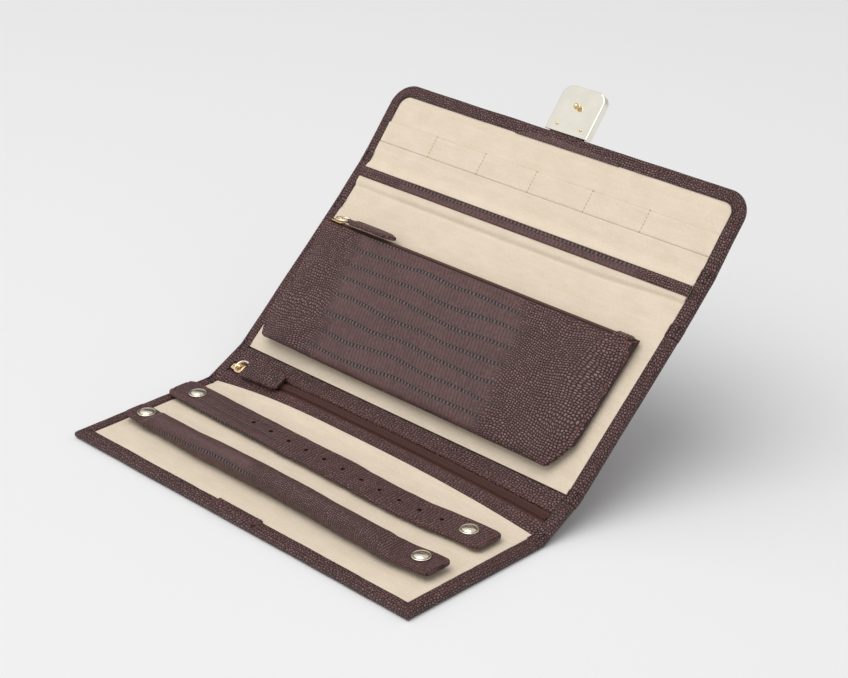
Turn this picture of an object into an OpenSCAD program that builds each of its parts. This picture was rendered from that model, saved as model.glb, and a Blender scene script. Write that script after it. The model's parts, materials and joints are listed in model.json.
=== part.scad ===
// Folding leather jewellery case, shown open.
// The origin is at the middle of the base panel's underside, +X runs along the long side and
// +Y runs from the free front edge towards the folds. Each panel has a frame of its own: x along
// the case, v up the panel from its lower fold, and w out of its inside face.

/* [Case] */
// Length of the case along X
case_w = 240; // [200:1:300]
// Depth of the base panel, from its free edge to the lower fold
base_d = 87; // [84:1:110]
// Depth of the lower spine, which is the room inside the closed case
lower_spine_l = 26; // [25:0.5:36]
// Depth of the back panel between its two folds
back_l = 93; // [91:1:118]
// Length of the flap beyond the upper spine
flap_l = 45; // [40:1:60]
// Thickness of each panel
panel_t = 4; // [4:0.1:5]
// Gap between the base's underside and the closed flap
closing_gap = 0.5; // [0.4:0.1:2]

/* [Open pose] */
// Slope of the lower spine
lower_angle = 27; // [10:1:40]
// Slope of the back panel
back_angle = 41.5; // [41:0.5:60]
// Slope of the upper spine
upper_angle = 44; // [42:0.5:70]
// Slope of the flap
flap_angle = 50; // [45:0.5:80]

/* [Leather and lining] */
// Width of the turned-over leather border
border_w = 7; // [5:0.5:9]
// Thickness of the outer leather
skin_t = 1.2; // [1:0.1:1.3]
// Thickness of the suede lining
lining_t = 0.6; // [0.5:0.1:0.7]
// Depth of the suede below the leather border
lining_recess = 0.4; // [0.3:0.1:0.6]
// Half of the gap between two panels at a fold
fold_gap = 0.25; // [0.2:0.05:0.5]
// Radius of the flap's outer corners
flap_corner_r = 13; // [8:1:18]
// Radius of the suede's corners inside the flap's border
flap_inner_r = 5; // [3:1:8]
// Width of the stitched patch over the front border's joint
patch_w = 31; // [20:1:45]
// Width of the extra leather sliver below the clasp
clasp_patch_w = 60; // [40:1:80]
// Height of the extra leather sliver below the clasp
clasp_patch_h = 4; // [3:0.5:6]
// Height of the sliver and the patch above the border
patch_t = 0.35; // [0.3:0.05:0.5]

/* [Pockets on the lining] */
// Thickness of the slip pocket on the back panel
slip_pocket_t = 0.7; // [0.5:0.1:1]
// Height of the slip pocket's mouth above the lower end of the back panel
slip_pocket_h = 91; // [60:1:92]
// Distance from the upper spine's lower fold to the binding strip
binding_at = 18; // [10:1:22]
// Width of the binding strip
binding_w = 6; // [4:0.5:7]
// Height of the pendant pocket's edge above the flap's fold
pendant_pocket_h = 9.6; // [7:0.2:14]
// Height of the loop strip above the pendant pocket
loop_strip_h = 12; // [8:1:16]
// Thickness of the pendant pocket and of the loop strip
flap_pocket_t = 0.5; // [0.3:0.1:0.6]

/* [Ring roll] */
// Diameter of the padded roll
roll_d = 12.5; // [9:0.5:14]
// Distance of the roll's centre line from the front edge
roll_v = 32; // [22:1:34]
// Distance of the roll's left end from the left edge
roll_start = 8; // [5:1:20]
// Length of the roll with its flat ends
roll_l = 220; // [150:1:224]
// Width of the roll's flat ends
roll_end_w = 17; // [14:1:20]
// Height of the flat ends' underside above the base panel
roll_end_lift = 2.6; // [1.6:0.1:3.5]
// Thickness of the flat ends
roll_end_t = 2.6; // [2:0.1:3]

/* [Earring strap] */
// Width of the strap
strap_w = 19; // [15:1:21]
// Thickness of the strap
strap_t = 2; // [1.5:0.1:2.5]
// Distance of the strap's centre line from the front edge
strap_v = 66; // [62:1:70]
// Distance of the strap's left end from the left edge
strap_start = 3; // [1:1:20]
// Length of the strap
strap_l = 224; // [160:1:228]
// Height of the strap's underside above the base panel
strap_lift = 1.4; // [1.2:0.1:2.5]
// Number of earring holes
hole_count = 11; // [5:1:13]
// Distance between earring holes
hole_pitch = 13.5; // [8:0.5:14]
// Diameter of an earring hole
hole_d = 2.4; // [1.5:0.1:3]
// Distance from the right end of the strap to the nearest hole
hole_from_end = 29.5; // [24:0.5:40]

/* [Press studs] */
// Diameter of a gold cap
cap_d = 9.5; // [8:0.5:12]
// Height of a cap's dome
cap_h = 1.7; // [1.2:0.1:2.5]
// Distance from a strap's end to the cap's centre
cap_from_end = 12; // [8:0.5:14]
// Radius of a male stud's post
stud_r = 1.6; // [1.2:0.1:2]
// Gap round a stud in its socket
stud_gap = 0.1; // [0.05:0.05:0.2]

/* [Pocket zip] */
// Distance of the zip's centre line from the spine's lower fold
zip_v = 11.5; // [11:0.5:13]
// Width of the zip that shows between the two leather bands
zip_opening = 6; // [5.5:0.5:7]
// Width of the whole zip tape
tape_w = 15; // [12:1:20]
// Distance of the closed slider's centre from the left edge
slider_start = 13; // [12:1:30]
// Length of the pocket pull's leather tab
pocket_tab_l = 32; // [20:1:36]
// Width of the pocket pull's leather tab
pocket_tab_w = 12; // [8:1:13]

/* [Pouch] */
// Width of the pouch
pouch_w = 215; // [160:1:222]
// Distance of the pouch's left side from the left edge
pouch_start = 9.5; // [8:0.5:60]
// Height of the pouch's front leather
pouch_h = 71; // [50:1:72]
// Distance of the pouch's lower edge from the back panel's lower fold
pouch_v = 7; // [7:1:10]
// Distance of the pouch's back from the back panel's face
pouch_off = 2.6; // [2.2:0.1:3.5]
// Thickness of the pouch below its zip
pouch_t = 5.2; // [4.5:0.1:6]
// Width of the lower corners' chamfer
chamfer_w = 7; // [3:1:12]
// Height of the lower corners' chamfer
chamfer_h = 15; // [5:1:25]
// Width of the zip tape that closes the pouch
pouch_tape_w = 6; // [6:0.1:6.6]
// Length of the pouch pull's leather tab
pouch_tab_l = 36; // [16:1:40]
// Width of the pouch pull's leather tab
pouch_tab_w = 8; // [6:0.5:9]
// Distance of each press stud from the pouch's side
pouch_stud_in = 40; // [20:1:60]
// Distance of the press studs below the pouch's front top edge
pouch_stud_down = 16; // [12:1:30]

/* [Zip parts] */
// Radius of a coil row
coil_r = 0.8; // [0.6:0.1:0.9]
// Distance of each coil row from the zip's centre line
coil_off = 1.25; // [1.2:0.05:1.4]
// Thickness of a zip tape
tape_t = 0.5; // [0.4:0.1:0.6]
// Gap between the two halves of a zip tape
tape_slot = 0.9; // [0.8:0.1:1]
// Clearance round a coil in its slider
slider_clear = 0.25; // [0.2:0.05:0.3]
// Length of a slider
slider_l = 10; // [8:0.5:11]
// Radius of a pull ring to the middle of its wire
ring_r = 3.9; // [3.8:0.1:4.4]
// Diameter of a pull ring's wire
ring_wire = 1.2; // [1:0.1:1.3]

/* [Clasp] */
// Width of the clasp plate
clasp_w = 28; // [20:1:36]
// Length of the clasp plate
clasp_l = 26; // [23:1:30]
// Thickness of the clasp plate
clasp_t = 4.6; // [4.2:0.1:5.5]
// Radius of the clasp plate's outer corners
clasp_r = 6.5; // [3:0.5:8]
// Distance from the flap's edge to the ball post
post_from_edge = 15.3; // [13:0.1:16]
// Diameter of the ball post's head
ball_d = 3.2; // [2.6:0.1:3.2]
// Height of the ball's centre above the plate
ball_h = 1.7; // [1.5:0.1:1.7]
// Distance between the two rivets
rivet_span = 16; // [10:1:20]
// Distance from the flap's edge to the rivets
rivet_from_edge = 4.4; // [3.5:0.1:6]
// Radius of a rivet's head
rivet_r = 0.9; // [0.6:0.1:1.1]

/* [Hidden] */
$fn = 48;
eps = 0.02;
upper_spine_l = lower_spine_l + panel_t + closing_gap;
half_w = case_w / 2;
inner_w = case_w - 2 * border_w;
lining_top = -lining_recess;
board_top = lining_top - lining_t;
board_bottom = -panel_t + skin_t;
joint_gap = 0.3;

// folds, as points in the YZ plane on the panels' inside faces
lower_fold = [base_d / 2, panel_t];
back_fold = lower_fold + lower_spine_l * [cos(lower_angle), sin(lower_angle)];
upper_fold = back_fold + back_l * [cos(back_angle), sin(back_angle)];
flap_fold = upper_fold + upper_spine_l * [cos(upper_angle), sin(upper_angle)];

// places worked out from the driving sizes
roll_x = -half_w + roll_start;
strap_x = -half_w + strap_start;
// caps' places along each strap, and the bends where their fixed left ends stop
roll_cap_x = [roll_x + cap_from_end - 4, roll_x + roll_l - cap_from_end];
strap_cap_x = [strap_x + cap_from_end, strap_x + strap_l - cap_from_end - 2];
roll_bend = roll_cap_x[0] + cap_d / 2 + 1.6;
strap_bend = strap_cap_x[0] + cap_d / 2 + 1.6;
strap_corner = 3;
roll_w = lining_top + roll_d / 2 + 0.1;
roll_taper_l = 10;
roll_taper_r = 0.4 * roll_d;
roll_body_x0 = roll_bend + joint_gap + roll_taper_l;
roll_body_x1 = roll_cap_x[1] - cap_d / 2 - 2 - roll_taper_l;
pouch_x = -half_w + pouch_start;
pouch_top = pouch_v + pouch_h;
pouch_skin = 1.2;
pouch_rim = 5;
pouch_end_l = 10;
pouch_zip_tilt = 55;
pouch_back_up = pouch_tape_w * cos(pouch_zip_tilt);
pouch_zip_w = pouch_off + pouch_tape_w * sin(pouch_zip_tilt);
pouch_stud_x = [pouch_x + pouch_stud_in, pouch_x + pouch_w - pouch_stud_in];
pouch_stud_v = pouch_top - pouch_stud_down;
stud_base_r = 4;
stud_base_t = 0.6;
socket_r = 4.4;
tape_top = board_top - 0.1;
coil_end = border_w + 1;
slider_plate = 0.9;
slider_post = 0.5;
slider_low_t = 0.7;
bridge_h = 2.9;
bridge_bar = 0.6;
// height of a pull's hinge above its tape
pull_z = 2 * coil_r + slider_clear + slider_plate + 1.1;
tab_t = 2;
tab_hang = 1.1;
keeper_t = 1;
keeper_end = 7;
keeper_w = 24;
closed_edge_v = base_d - back_l + flap_l;
keeper_post_v = closed_edge_v + post_from_edge;
keeper_cup_r = 4;
socket_bore_r = ball_d / 2 + 0.9;
rivet_h = 0.6;
dimple_r = rivet_r + 0.6;
tongue_w = 22;
tongue_t = board_top - board_bottom;
tongue_in = 8;

leather = [0.34, 0.26, 0.26];
suede = [0.89, 0.83, 0.74];
zip_brown = [0.42, 0.21, 0.17];
gold = [0.86, 0.77, 0.6];
card = [0.55, 0.48, 0.4];
felt = [0.35, 0.33, 0.32];
foam = [0.9, 0.88, 0.8];

// ---- shared shapes ----

// a box given by its low and high corners
module span(low, high) {
    translate(low) cube(high - low);
}

// the frames of the five panels
module on_base() {
    translate([0, -base_d / 2, panel_t]) children();
}

module on_panel(fold, angle) {
    translate([0, fold[0], fold[1]]) rotate([angle, 0, 0]) children();
}

module on_lower_spine() {
    on_panel(lower_fold, lower_angle) children();
}

module on_back() {
    on_panel(back_fold, back_angle) children();
}

module on_upper_spine() {
    on_panel(upper_fold, upper_angle) children();
}

module on_flap() {
    on_panel(flap_fold, flap_angle) children();
}

// a rectangle from v = 0 whose two upper corners are round
module round_top(w, l, r) {
    translate([-w / 2, 0]) square([w, l - r]);
    translate([-w / 2 + r, l - r - eps]) square([w - 2 * r, r + eps]);
    for (side = [-1, 1]) translate([side * (w / 2 - r), l - r]) circle(r);
}

// a strap's outline from x = 0 to l, with both right corners round
module strap_end(l, w, r) {
    translate([0, -w / 2]) square([l - r, w]);
    translate([l - r - eps, -w / 2 + r]) square([r + eps, w - 2 * r]);
    for (side = [-1, 1]) translate([l - r, side * (w / 2 - r)]) circle(r);
}

// outer leather with its turned-over side borders, open at both folds
module spine_skin(l) {
    difference() {
        span([-half_w, fold_gap, -panel_t], [half_w, l - fold_gap, 0]);
        span([-inner_w / 2, 0, board_bottom], [inner_w / 2, l, 1]);
    }
}

// a flat layer between the side borders
module layer(from, to, low, high) {
    span([-inner_w / 2, from, low], [inner_w / 2, to, high]);
}

// a domed press-stud cap on a thin rim, standing on z = 0
module cap() {
    rim = 0.5;
    rise = cap_h - rim;
    sphere_r = (pow(cap_d / 2, 2) + pow(rise, 2)) / (2 * rise);
    cylinder(r = cap_d / 2, h = rim);
    intersection() {
        translate([0, 0, rim + rise - sphere_r]) sphere(sphere_r, $fn = 96);
        translate([0, 0, rim - eps]) cylinder(r = cap_d / 2, h = rise + 1);
    }
}

// a male press stud, its flange on z = 0
module stud(reach) {
    cylinder(r = stud_base_r, h = stud_base_t);
    cylinder(r = stud_r, h = reach);
}

// the ring-shaped female half that a stud enters
module socket(h) {
    difference() {
        cylinder(r = socket_r, h = h);
        translate([0, 0, -1]) cylinder(r = stud_r + stud_gap, h = h + 2);
    }
}

// ---- zip parts, in a frame whose z = 0 is the tape's top and whose y = 0 is its centre line ----

module zip_tape(x0, x1, width) {
    for (side = [-1, 1])
        span([x0, side > 0 ? tape_slot / 2 : -width / 2, -tape_t],
             [x1, side > 0 ? width / 2 : -tape_slot / 2, 0]);
}

module zip_coil(x0, x1) {
    for (side = [-1, 1])
        translate([x0, side * coil_off, coil_r]) rotate([0, 90, 0])
            cylinder(r = coil_r, h = x1 - x0);
}

// slider centred on x = 0: top plate with side flanges, guide post, lower plate and bridge
module zip_slider() {
    reach = coil_off + coil_r + slider_clear;
    top = 2 * coil_r + slider_clear;
    low = -tape_t - slider_clear;
    half = slider_l / 2;
    span([-half, -reach - 0.7, top], [half, reach + 0.7, top + slider_plate]);
    for (side = [-1, 1]) mirror([0, side > 0 ? 0 : 1, 0])
        span([-half, reach, slider_clear], [half, reach + 0.7, top + eps]);
    span([-half + 1, -slider_post / 2, low - eps], [-half + 3, slider_post / 2, top + eps]);
    span([-half, -reach, low - slider_low_t], [half, reach, low]);
    bridge_z = top + slider_plate;
    for (x = [-2.4, 1.7]) span([x, -1, bridge_z - eps], [x + 0.7, 1, bridge_z + bridge_h]);
    span([-2.4, -1, bridge_z + bridge_h - bridge_bar], [2.4, 1, bridge_z + bridge_h]);
}

module pull_ring() {
    translate([ring_r, 0, pull_z]) rotate_extrude($fn = 72)
        translate([ring_r, 0]) circle(ring_wire / 2, $fn = 24);
}

// leather tab from the ring's far side, with its far end's shape as a child
module pull_tab() {
    translate([2 * ring_r - 1.2, 0, pull_z - tab_hang]) linear_extrude(tab_t) children();
}

// ---- base panel ----

module base_leather() {
    color(leather) on_base() difference() {
        span([-half_w, 0, -panel_t], [half_w, base_d - fold_gap, 0]);
        span([-inner_w / 2, border_w, board_bottom], [inner_w / 2, base_d + 1, 1]);
        keeper_space(0);
    }
}

module base_board() {
    color(card) on_base() difference() {
        layer(border_w, base_d - fold_gap, board_bottom, board_top);
        zip_bag_space(0);
        keeper_space(0);
    }
}

module base_lining() {
    color(suede) on_base() layer(border_w, base_d - fold_gap, board_top, lining_top);
}

// the shallow space between board and lining that the zip pocket's bag lies in
module zip_bag_space(shrink) {
    span([-inner_w / 2 + 10 + shrink, border_w + 16 + shrink, board_top - 0.5 + shrink],
         [inner_w / 2 - 10 - shrink, base_d - 1 - shrink, board_top + (shrink > 0 ? 0 : 1)]);
}

module zip_pocket_bag() {
    color(suede) on_base() difference() {
        zip_bag_space(0.05);
        translate([0, keeper_post_v, -panel_t]) cylinder(r = keeper_cup_r + 0.5, h = panel_t);
    }
}

module edge_patch() {
    color(leather) on_base() span([-patch_w / 2, 0.2, 0], [patch_w / 2, border_w + 0.8, patch_t]);
}

// plate and cup of the clasp's catch, flush with the base's underside
module keeper_space(shrink) {
    span([-keeper_w / 2 + shrink, closed_edge_v + shrink, -panel_t - (shrink > 0 ? 0 : 1)],
         [keeper_w / 2 - shrink, keeper_post_v + keeper_end - shrink, -panel_t + keeper_t]);
    translate([0, keeper_post_v, -panel_t])
        cylinder(r = keeper_cup_r - shrink, h = panel_t + board_top - shrink);
}

module clasp_keeper() {
    color(gold) on_base() difference() {
        keeper_space(0.05);
        translate([0, keeper_post_v, -panel_t - 1])
            cylinder(r = socket_bore_r, h = panel_t + board_top + 1);
        for (side = [-1, 1])
            translate([side * rivet_span / 2, closed_edge_v + rivet_from_edge, -panel_t - 1])
                cylinder(r = dimple_r, h = 1 + rivet_h);
    }
}

// sprung ring inside the keeper's bore that grips below the ball
module keeper_spring() {
    color(gold) on_base() translate([0, keeper_post_v, -panel_t + 0.5])
        difference() {
            cylinder(r = socket_bore_r - 0.05, h = 0.6);
            translate([0, 0, -1]) cylinder(r = ball_d / 2 + 0.15, h = 3);
            translate([0, -0.6, -1]) cube([10, 1.2, 3]);
        }
}

module base_studs() {
    color(gold) on_base() {
        for (x = roll_cap_x) translate([x, roll_v, lining_top])
            stud(roll_end_lift - lining_top + roll_end_t - 0.6);
        for (x = strap_cap_x) translate([x, strap_v, lining_top])
            stud(strap_lift - lining_top + strap_t - 0.6);
    }
}

// a stud's clearance hole through a strap, stopping below its cap
module stud_hole(x, v) {
    translate([x, v, -1]) cylinder(r = stud_r + stud_gap, h = panel_t + roll_d);
}

module roll_anchor() {
    color(leather) on_base() difference() {
        translate([roll_bend - joint_gap, roll_v, roll_end_lift]) rotate([0, 0, 180])
            linear_extrude(roll_end_t)
                strap_end(roll_bend - joint_gap - roll_x, roll_end_w, strap_corner);
        translate([0, 0, roll_end_lift]) stud_hole(roll_cap_x[0], roll_v);
    }
}

module roll_anchor_cap() {
    color(gold) on_base()
        translate([roll_cap_x[0], roll_v, roll_end_lift + roll_end_t]) cap();
}

module strap_anchor() {
    color(leather) on_base() difference() {
        translate([strap_bend - joint_gap, strap_v, strap_lift]) rotate([0, 0, 180])
            linear_extrude(strap_t)
                strap_end(strap_bend - joint_gap - strap_x, strap_w, strap_corner);
        translate([0, 0, strap_lift]) stud_hole(strap_cap_x[0], strap_v);
    }
}

module strap_anchor_cap() {
    color(gold) on_base()
        translate([strap_cap_x[0], strap_v, strap_lift + strap_t]) cap();
}

// ---- ring roll ----

// the blend between a flat end and the round roll, from x = 0 to the taper's length
module roll_taper() {
    hull() {
        translate([0, -roll_end_w / 2 + 1, roll_end_lift])
            cube([0.5, roll_end_w - 2, roll_end_t]);
        translate([roll_taper_l / 2, 0, (roll_w + roll_end_lift + roll_end_t / 2) / 2])
            rotate([0, 90, 0]) cylinder(r = roll_taper_r, h = 0.5, $fn = 32);
        translate([roll_taper_l - 0.5, 0, roll_w]) rotate([0, 90, 0])
            cylinder(r = roll_d / 2, h = 0.5, $fn = 32);
    }
}

module roll_cover() {
    x_end = roll_x + roll_l;
    color(leather) on_base() translate([0, roll_v, 0]) difference() {
        union() {
            translate([roll_bend + joint_gap, 0, 0]) roll_taper();
            translate([roll_body_x0 - 0.1, 0, roll_w]) rotate([0, 90, 0])
                cylinder(r = roll_d / 2, h = roll_body_x1 - roll_body_x0 + 0.2);
            translate([roll_body_x1 + roll_taper_l, 0, 0]) mirror([1, 0, 0]) roll_taper();
            translate([roll_body_x1 + roll_taper_l - 0.4, 0, roll_end_lift])
                linear_extrude(roll_end_t)
                    strap_end(x_end - roll_body_x1 - roll_taper_l + 0.4, roll_end_w, strap_corner);
        }
        translate([roll_body_x0, 0, roll_w]) rotate([0, 90, 0])
            cylinder(r = roll_d / 2 - skin_t, h = roll_body_x1 - roll_body_x0);
        translate([0, 0, roll_end_lift]) stud_hole(roll_cap_x[1], 0);
    }
}

module roll_core() {
    color(foam) on_base() translate([roll_body_x0, roll_v, roll_w]) rotate([0, 90, 0])
        cylinder(r = roll_d / 2 - skin_t, h = roll_body_x1 - roll_body_x0);
}

module roll_cap() {
    color(gold) on_base()
        translate([roll_cap_x[1], roll_v, roll_end_lift + roll_end_t]) cap();
}

module roll_socket() {
    color(gold) on_base() translate([roll_cap_x[1], roll_v, roll_end_lift])
        mirror([0, 0, 1]) socket(roll_end_lift - lining_top - stud_base_t - joint_gap);
}

// ---- earring strap ----

module earring_strap() {
    x0 = strap_bend + joint_gap;
    color(leather) on_base() difference() {
        translate([x0, strap_v, strap_lift]) linear_extrude(strap_t)
            strap_end(strap_x + strap_l - x0, strap_w, strap_corner);
        for (i = [0 : hole_count - 1])
            translate([strap_x + strap_l - hole_from_end - i * hole_pitch, strap_v,
                       strap_lift - 1])
                cylinder(r = hole_d / 2, h = strap_t + 2);
        translate([0, 0, strap_lift]) stud_hole(strap_cap_x[1], strap_v);
    }
}

module strap_cap() {
    color(gold) on_base()
        translate([strap_cap_x[1], strap_v, strap_lift + strap_t]) cap();
}

module strap_socket() {
    color(gold) on_base() translate([strap_cap_x[1], strap_v, strap_lift])
        mirror([0, 0, 1]) socket(strap_lift - lining_top - stud_base_t - joint_gap);
}

// ---- lower spine ----

module lower_spine_leather() {
    color(leather) on_lower_spine() spine_skin(lower_spine_l);
}

// soft filling below the zip tape, with a slot that the slider's lower plate runs in
module lower_spine_felt() {
    color(felt) on_lower_spine() difference() {
        layer(fold_gap, lower_spine_l - fold_gap, board_bottom, tape_top - tape_t);
        span([-inner_w / 2 - 1, zip_v - 3, tape_top - tape_t - slider_low_t - 2 * slider_clear],
             [inner_w / 2 + 1, zip_v + 3, 1]);
    }
}

module zip_band_front() {
    color(leather) on_lower_spine()
        layer(fold_gap, zip_v - zip_opening / 2, tape_top, 0);
}

module zip_band_rear() {
    color(leather) on_lower_spine()
        layer(zip_v + zip_opening / 2, lower_spine_l - fold_gap, tape_top, 0);
}

module on_pocket_zip() {
    on_lower_spine() translate([0, zip_v, tape_top]) children();
}

module pocket_zip_tape() {
    color(zip_brown) on_pocket_zip() zip_tape(-inner_w / 2, inner_w / 2, tape_w);
}

module pocket_zip_coil() {
    color(zip_brown) on_pocket_zip() zip_coil(-half_w + coil_end, half_w - coil_end);
}

module on_pocket_slider() {
    on_pocket_zip() translate([-half_w + slider_start, 0, 0]) children();
}

module pocket_zip_slider() {
    color(gold) on_pocket_slider() zip_slider();
}

module pocket_pull_ring() {
    color(gold) on_pocket_slider() pull_ring();
}

module pocket_pull_tab() {
    color(leather) on_pocket_slider() pull_tab()
        strap_end(pocket_tab_l, pocket_tab_w, 2.5);
}

// ---- back panel ----

module back_leather() {
    color(leather) on_back() spine_skin(back_l);
}

module back_board() {
    color(card) on_back() layer(fold_gap, back_l - fold_gap, board_bottom, board_top);
}

module back_lining() {
    color(suede) on_back() layer(fold_gap, back_l - fold_gap, board_top, lining_top);
}

module slip_pocket() {
    color(suede) on_back() layer(fold_gap, slip_pocket_h, lining_top, lining_top + slip_pocket_t);
}

module pouch_studs() {
    flange_at = lining_top + slip_pocket_t;
    color(gold) on_back() for (x = pouch_stud_x)
        translate([x, pouch_stud_v, flange_at]) stud(pouch_off - flange_at - 0.2);
}

// ---- upper spine ----

module upper_spine_leather() {
    color(leather) on_upper_spine() spine_skin(upper_spine_l);
}

module upper_spine_felt() {
    color(felt) on_upper_spine()
        layer(fold_gap, upper_spine_l - fold_gap, board_bottom, board_top);
}

module upper_spine_lining() {
    color(suede) on_upper_spine()
        layer(fold_gap, upper_spine_l - fold_gap, board_top, lining_top);
}

module binding_strip() {
    color(leather) on_upper_spine()
        layer(binding_at, binding_at + binding_w, lining_top, patch_t);
}

// ---- flap and clasp ----

module flap_leather() {
    color(leather) on_flap() difference() {
        translate([0, 0, -panel_t]) linear_extrude(panel_t) difference() {
            round_top(case_w, flap_l, flap_corner_r);
            translate([-half_w - 1, -1]) square([case_w + 2, 1 + fold_gap]);
        }
        translate([0, 0, board_bottom]) linear_extrude(panel_t) flap_inside();
        tongue(0);
    }
}

// the area inside the flap's border
module flap_inside() {
    translate([0, -1]) round_top(inner_w, flap_l - border_w + 1, flap_inner_r);
}

module flap_layer(low, high) {
    translate([0, 0, low]) linear_extrude(high - low) difference() {
        flap_inside();
        translate([-half_w, -2]) square([case_w, 2 + fold_gap]);
    }
}

module flap_board() {
    color(card) on_flap() difference() {
        flap_layer(board_bottom, board_top);
        tongue(0);
    }
}

module flap_lining() {
    color(suede) on_flap() flap_layer(board_top, lining_top);
}

module pendant_pocket() {
    color(suede) on_flap()
        layer(fold_gap, pendant_pocket_h, lining_top, lining_top + flap_pocket_t);
}

module loop_strip() {
    color(suede) on_flap() layer(pendant_pocket_h + 0.2, pendant_pocket_h + loop_strip_h,
                                 lining_top, lining_top + flap_pocket_t);
}

module flap_patch() {
    color(leather) on_flap()
        span([-clasp_patch_w / 2, flap_l - clasp_patch_h - 1, 0],
             [clasp_patch_w / 2, flap_l - 1, patch_t]);
}

// leather tongue that joins the clasp plate to the flap
module tongue(shrink) {
    span([-tongue_w / 2 + shrink, flap_l - tongue_in, board_bottom],
         [tongue_w / 2 - shrink, flap_l + tongue_in, board_bottom + tongue_t]);
}

module clasp_tongue() {
    color(leather) on_flap() tongue(0);
}

module clasp_plate() {
    color(gold) on_flap() difference() {
        translate([0, flap_l + 0.3, -clasp_t]) linear_extrude(clasp_t)
            round_top(clasp_w, clasp_l, clasp_r);
        tongue(-0.05);
        clasp_pins(0, clasp_t);
        translate([0, flap_l + post_from_edge, -1.2]) cylinder(r = 0.9, h = 2);
    }
}

// the two rivets' shanks through the plate and the tongue
module clasp_pins(grow, length) {
    for (side = [-1, 1])
        translate([side * rivet_span / 2, flap_l + rivet_from_edge, -length])
            cylinder(r = rivet_r - 0.3 + grow, h = length + eps);
}

module clasp_rivets() {
    dome_r = (pow(rivet_r, 2) + pow(rivet_h, 2)) / (2 * rivet_h);
    color(gold) on_flap() {
        difference() {
            clasp_pins(0, clasp_t);
            tongue(-0.05);
        }
        for (side = [-1, 1])
            translate([side * rivet_span / 2, flap_l + rivet_from_edge, 0])
                intersection() {
                    translate([0, 0, rivet_h - dome_r]) sphere(dome_r);
                    cylinder(r = rivet_r + 1, h = 2);
                }
    }
}

module clasp_post() {
    color(gold) on_flap() translate([0, flap_l + post_from_edge, 0]) {
        translate([0, 0, -1.2]) cylinder(r = 0.9, h = 1.2 + ball_h);
        translate([0, 0, ball_h]) sphere(ball_d / 2);
    }
}

// ---- pouch ----

// outline with chamfered lower corners, raised at its top by extra
module pouch_outline(extra, inset) {
    translate([pouch_x, pouch_v]) polygon([
        [inset, chamfer_h + inset / 2],
        [chamfer_w + inset / 2, inset],
        [pouch_w - chamfer_w - inset / 2, inset],
        [pouch_w - inset, chamfer_h + inset / 2],
        [pouch_w - inset, pouch_h + extra - inset],
        [inset, pouch_h + extra - inset]
    ]);
}

module pouch_front() {
    low = pouch_off + pouch_skin;
    color(leather) on_back() difference() {
        translate([0, 0, low]) linear_extrude(pouch_t - pouch_skin) pouch_outline(0, 0);
        translate([0, 0, low - 1]) linear_extrude(1 + pouch_t - 2 * pouch_skin)
            pouch_outline(0, pouch_rim);
        pouch_zip_channel();
    }
}

module pouch_back() {
    color(leather) on_back() difference() {
        translate([0, 0, pouch_off]) linear_extrude(pouch_skin)
            pouch_outline(pouch_back_up, 0);
        pouch_zip_channel();
    }
}

// what the leathers leave free for the zip: the room above the tape, and the slider's lower
// plate's path below it
module pouch_zip_channel() {
    reach = coil_off + coil_r + 2 * slider_clear;
    depth = tape_t + 2 * slider_clear + slider_low_t;
    pouch_zip_frame() {
        span([-half_w, -pouch_tape_w, -tape_t - 0.05], [half_w, pouch_tape_w, 8]);
        span([-half_w, -reach, -depth], [half_w, reach, 8]);
    }
}

module pouch_lining() {
    color(suede) on_back() translate([0, 0, pouch_off + pouch_skin]) linear_extrude(0.8)
        pouch_outline(0, pouch_rim + 0.3);
}

module pouch_sockets() {
    color(gold) on_back() for (x = pouch_stud_x) translate([x, pouch_stud_v, pouch_off])
        mirror([0, 0, 1])
            socket(pouch_off - lining_top - slip_pocket_t - stud_base_t - joint_gap);
}

// the pouch's zip faces up and outwards between the front and back leathers' top edges
module pouch_zip_frame() {
    translate([0, pouch_top, pouch_zip_w]) rotate([-pouch_zip_tilt, 0, 0])
        translate([0, pouch_tape_w / 2, 0]) children();
}

module on_pouch_zip() {
    on_back() pouch_zip_frame() children();
}

module pouch_zip_tape() {
    color(zip_brown) on_pouch_zip()
        zip_tape(pouch_x + 1, pouch_x + pouch_w - 1, pouch_tape_w);
}

module pouch_zip_coil() {
    color(zip_brown) on_pouch_zip()
        zip_coil(pouch_x + 2, pouch_x + pouch_w - pouch_end_l - 2.2);
}

// leather tab folded over the right end of the zip
module pouch_zip_end_tab() {
    color(leather) on_pouch_zip()
        span([pouch_x + pouch_w - pouch_end_l - 2, -2.6, 0],
             [pouch_x + pouch_w - 2, 2.6, 2]);
}

module on_pouch_slider() {
    on_pouch_zip() translate([pouch_x + slider_l / 2 + 3, 0, 0]) children();
}

module pouch_zip_slider() {
    color(gold) on_pouch_slider() zip_slider();
}

module pouch_pull_ring() {
    color(gold) on_pouch_slider() pull_ring();
}

module pouch_pull_tab() {
    point = 6;
    color(leather) on_pouch_slider() pull_tab() polygon([
        [0, -pouch_tab_w / 2], [pouch_tab_l - point, -pouch_tab_w / 2],
        [pouch_tab_l, 0], [pouch_tab_l - point, pouch_tab_w / 2], [0, pouch_tab_w / 2]
    ]);
}

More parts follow.
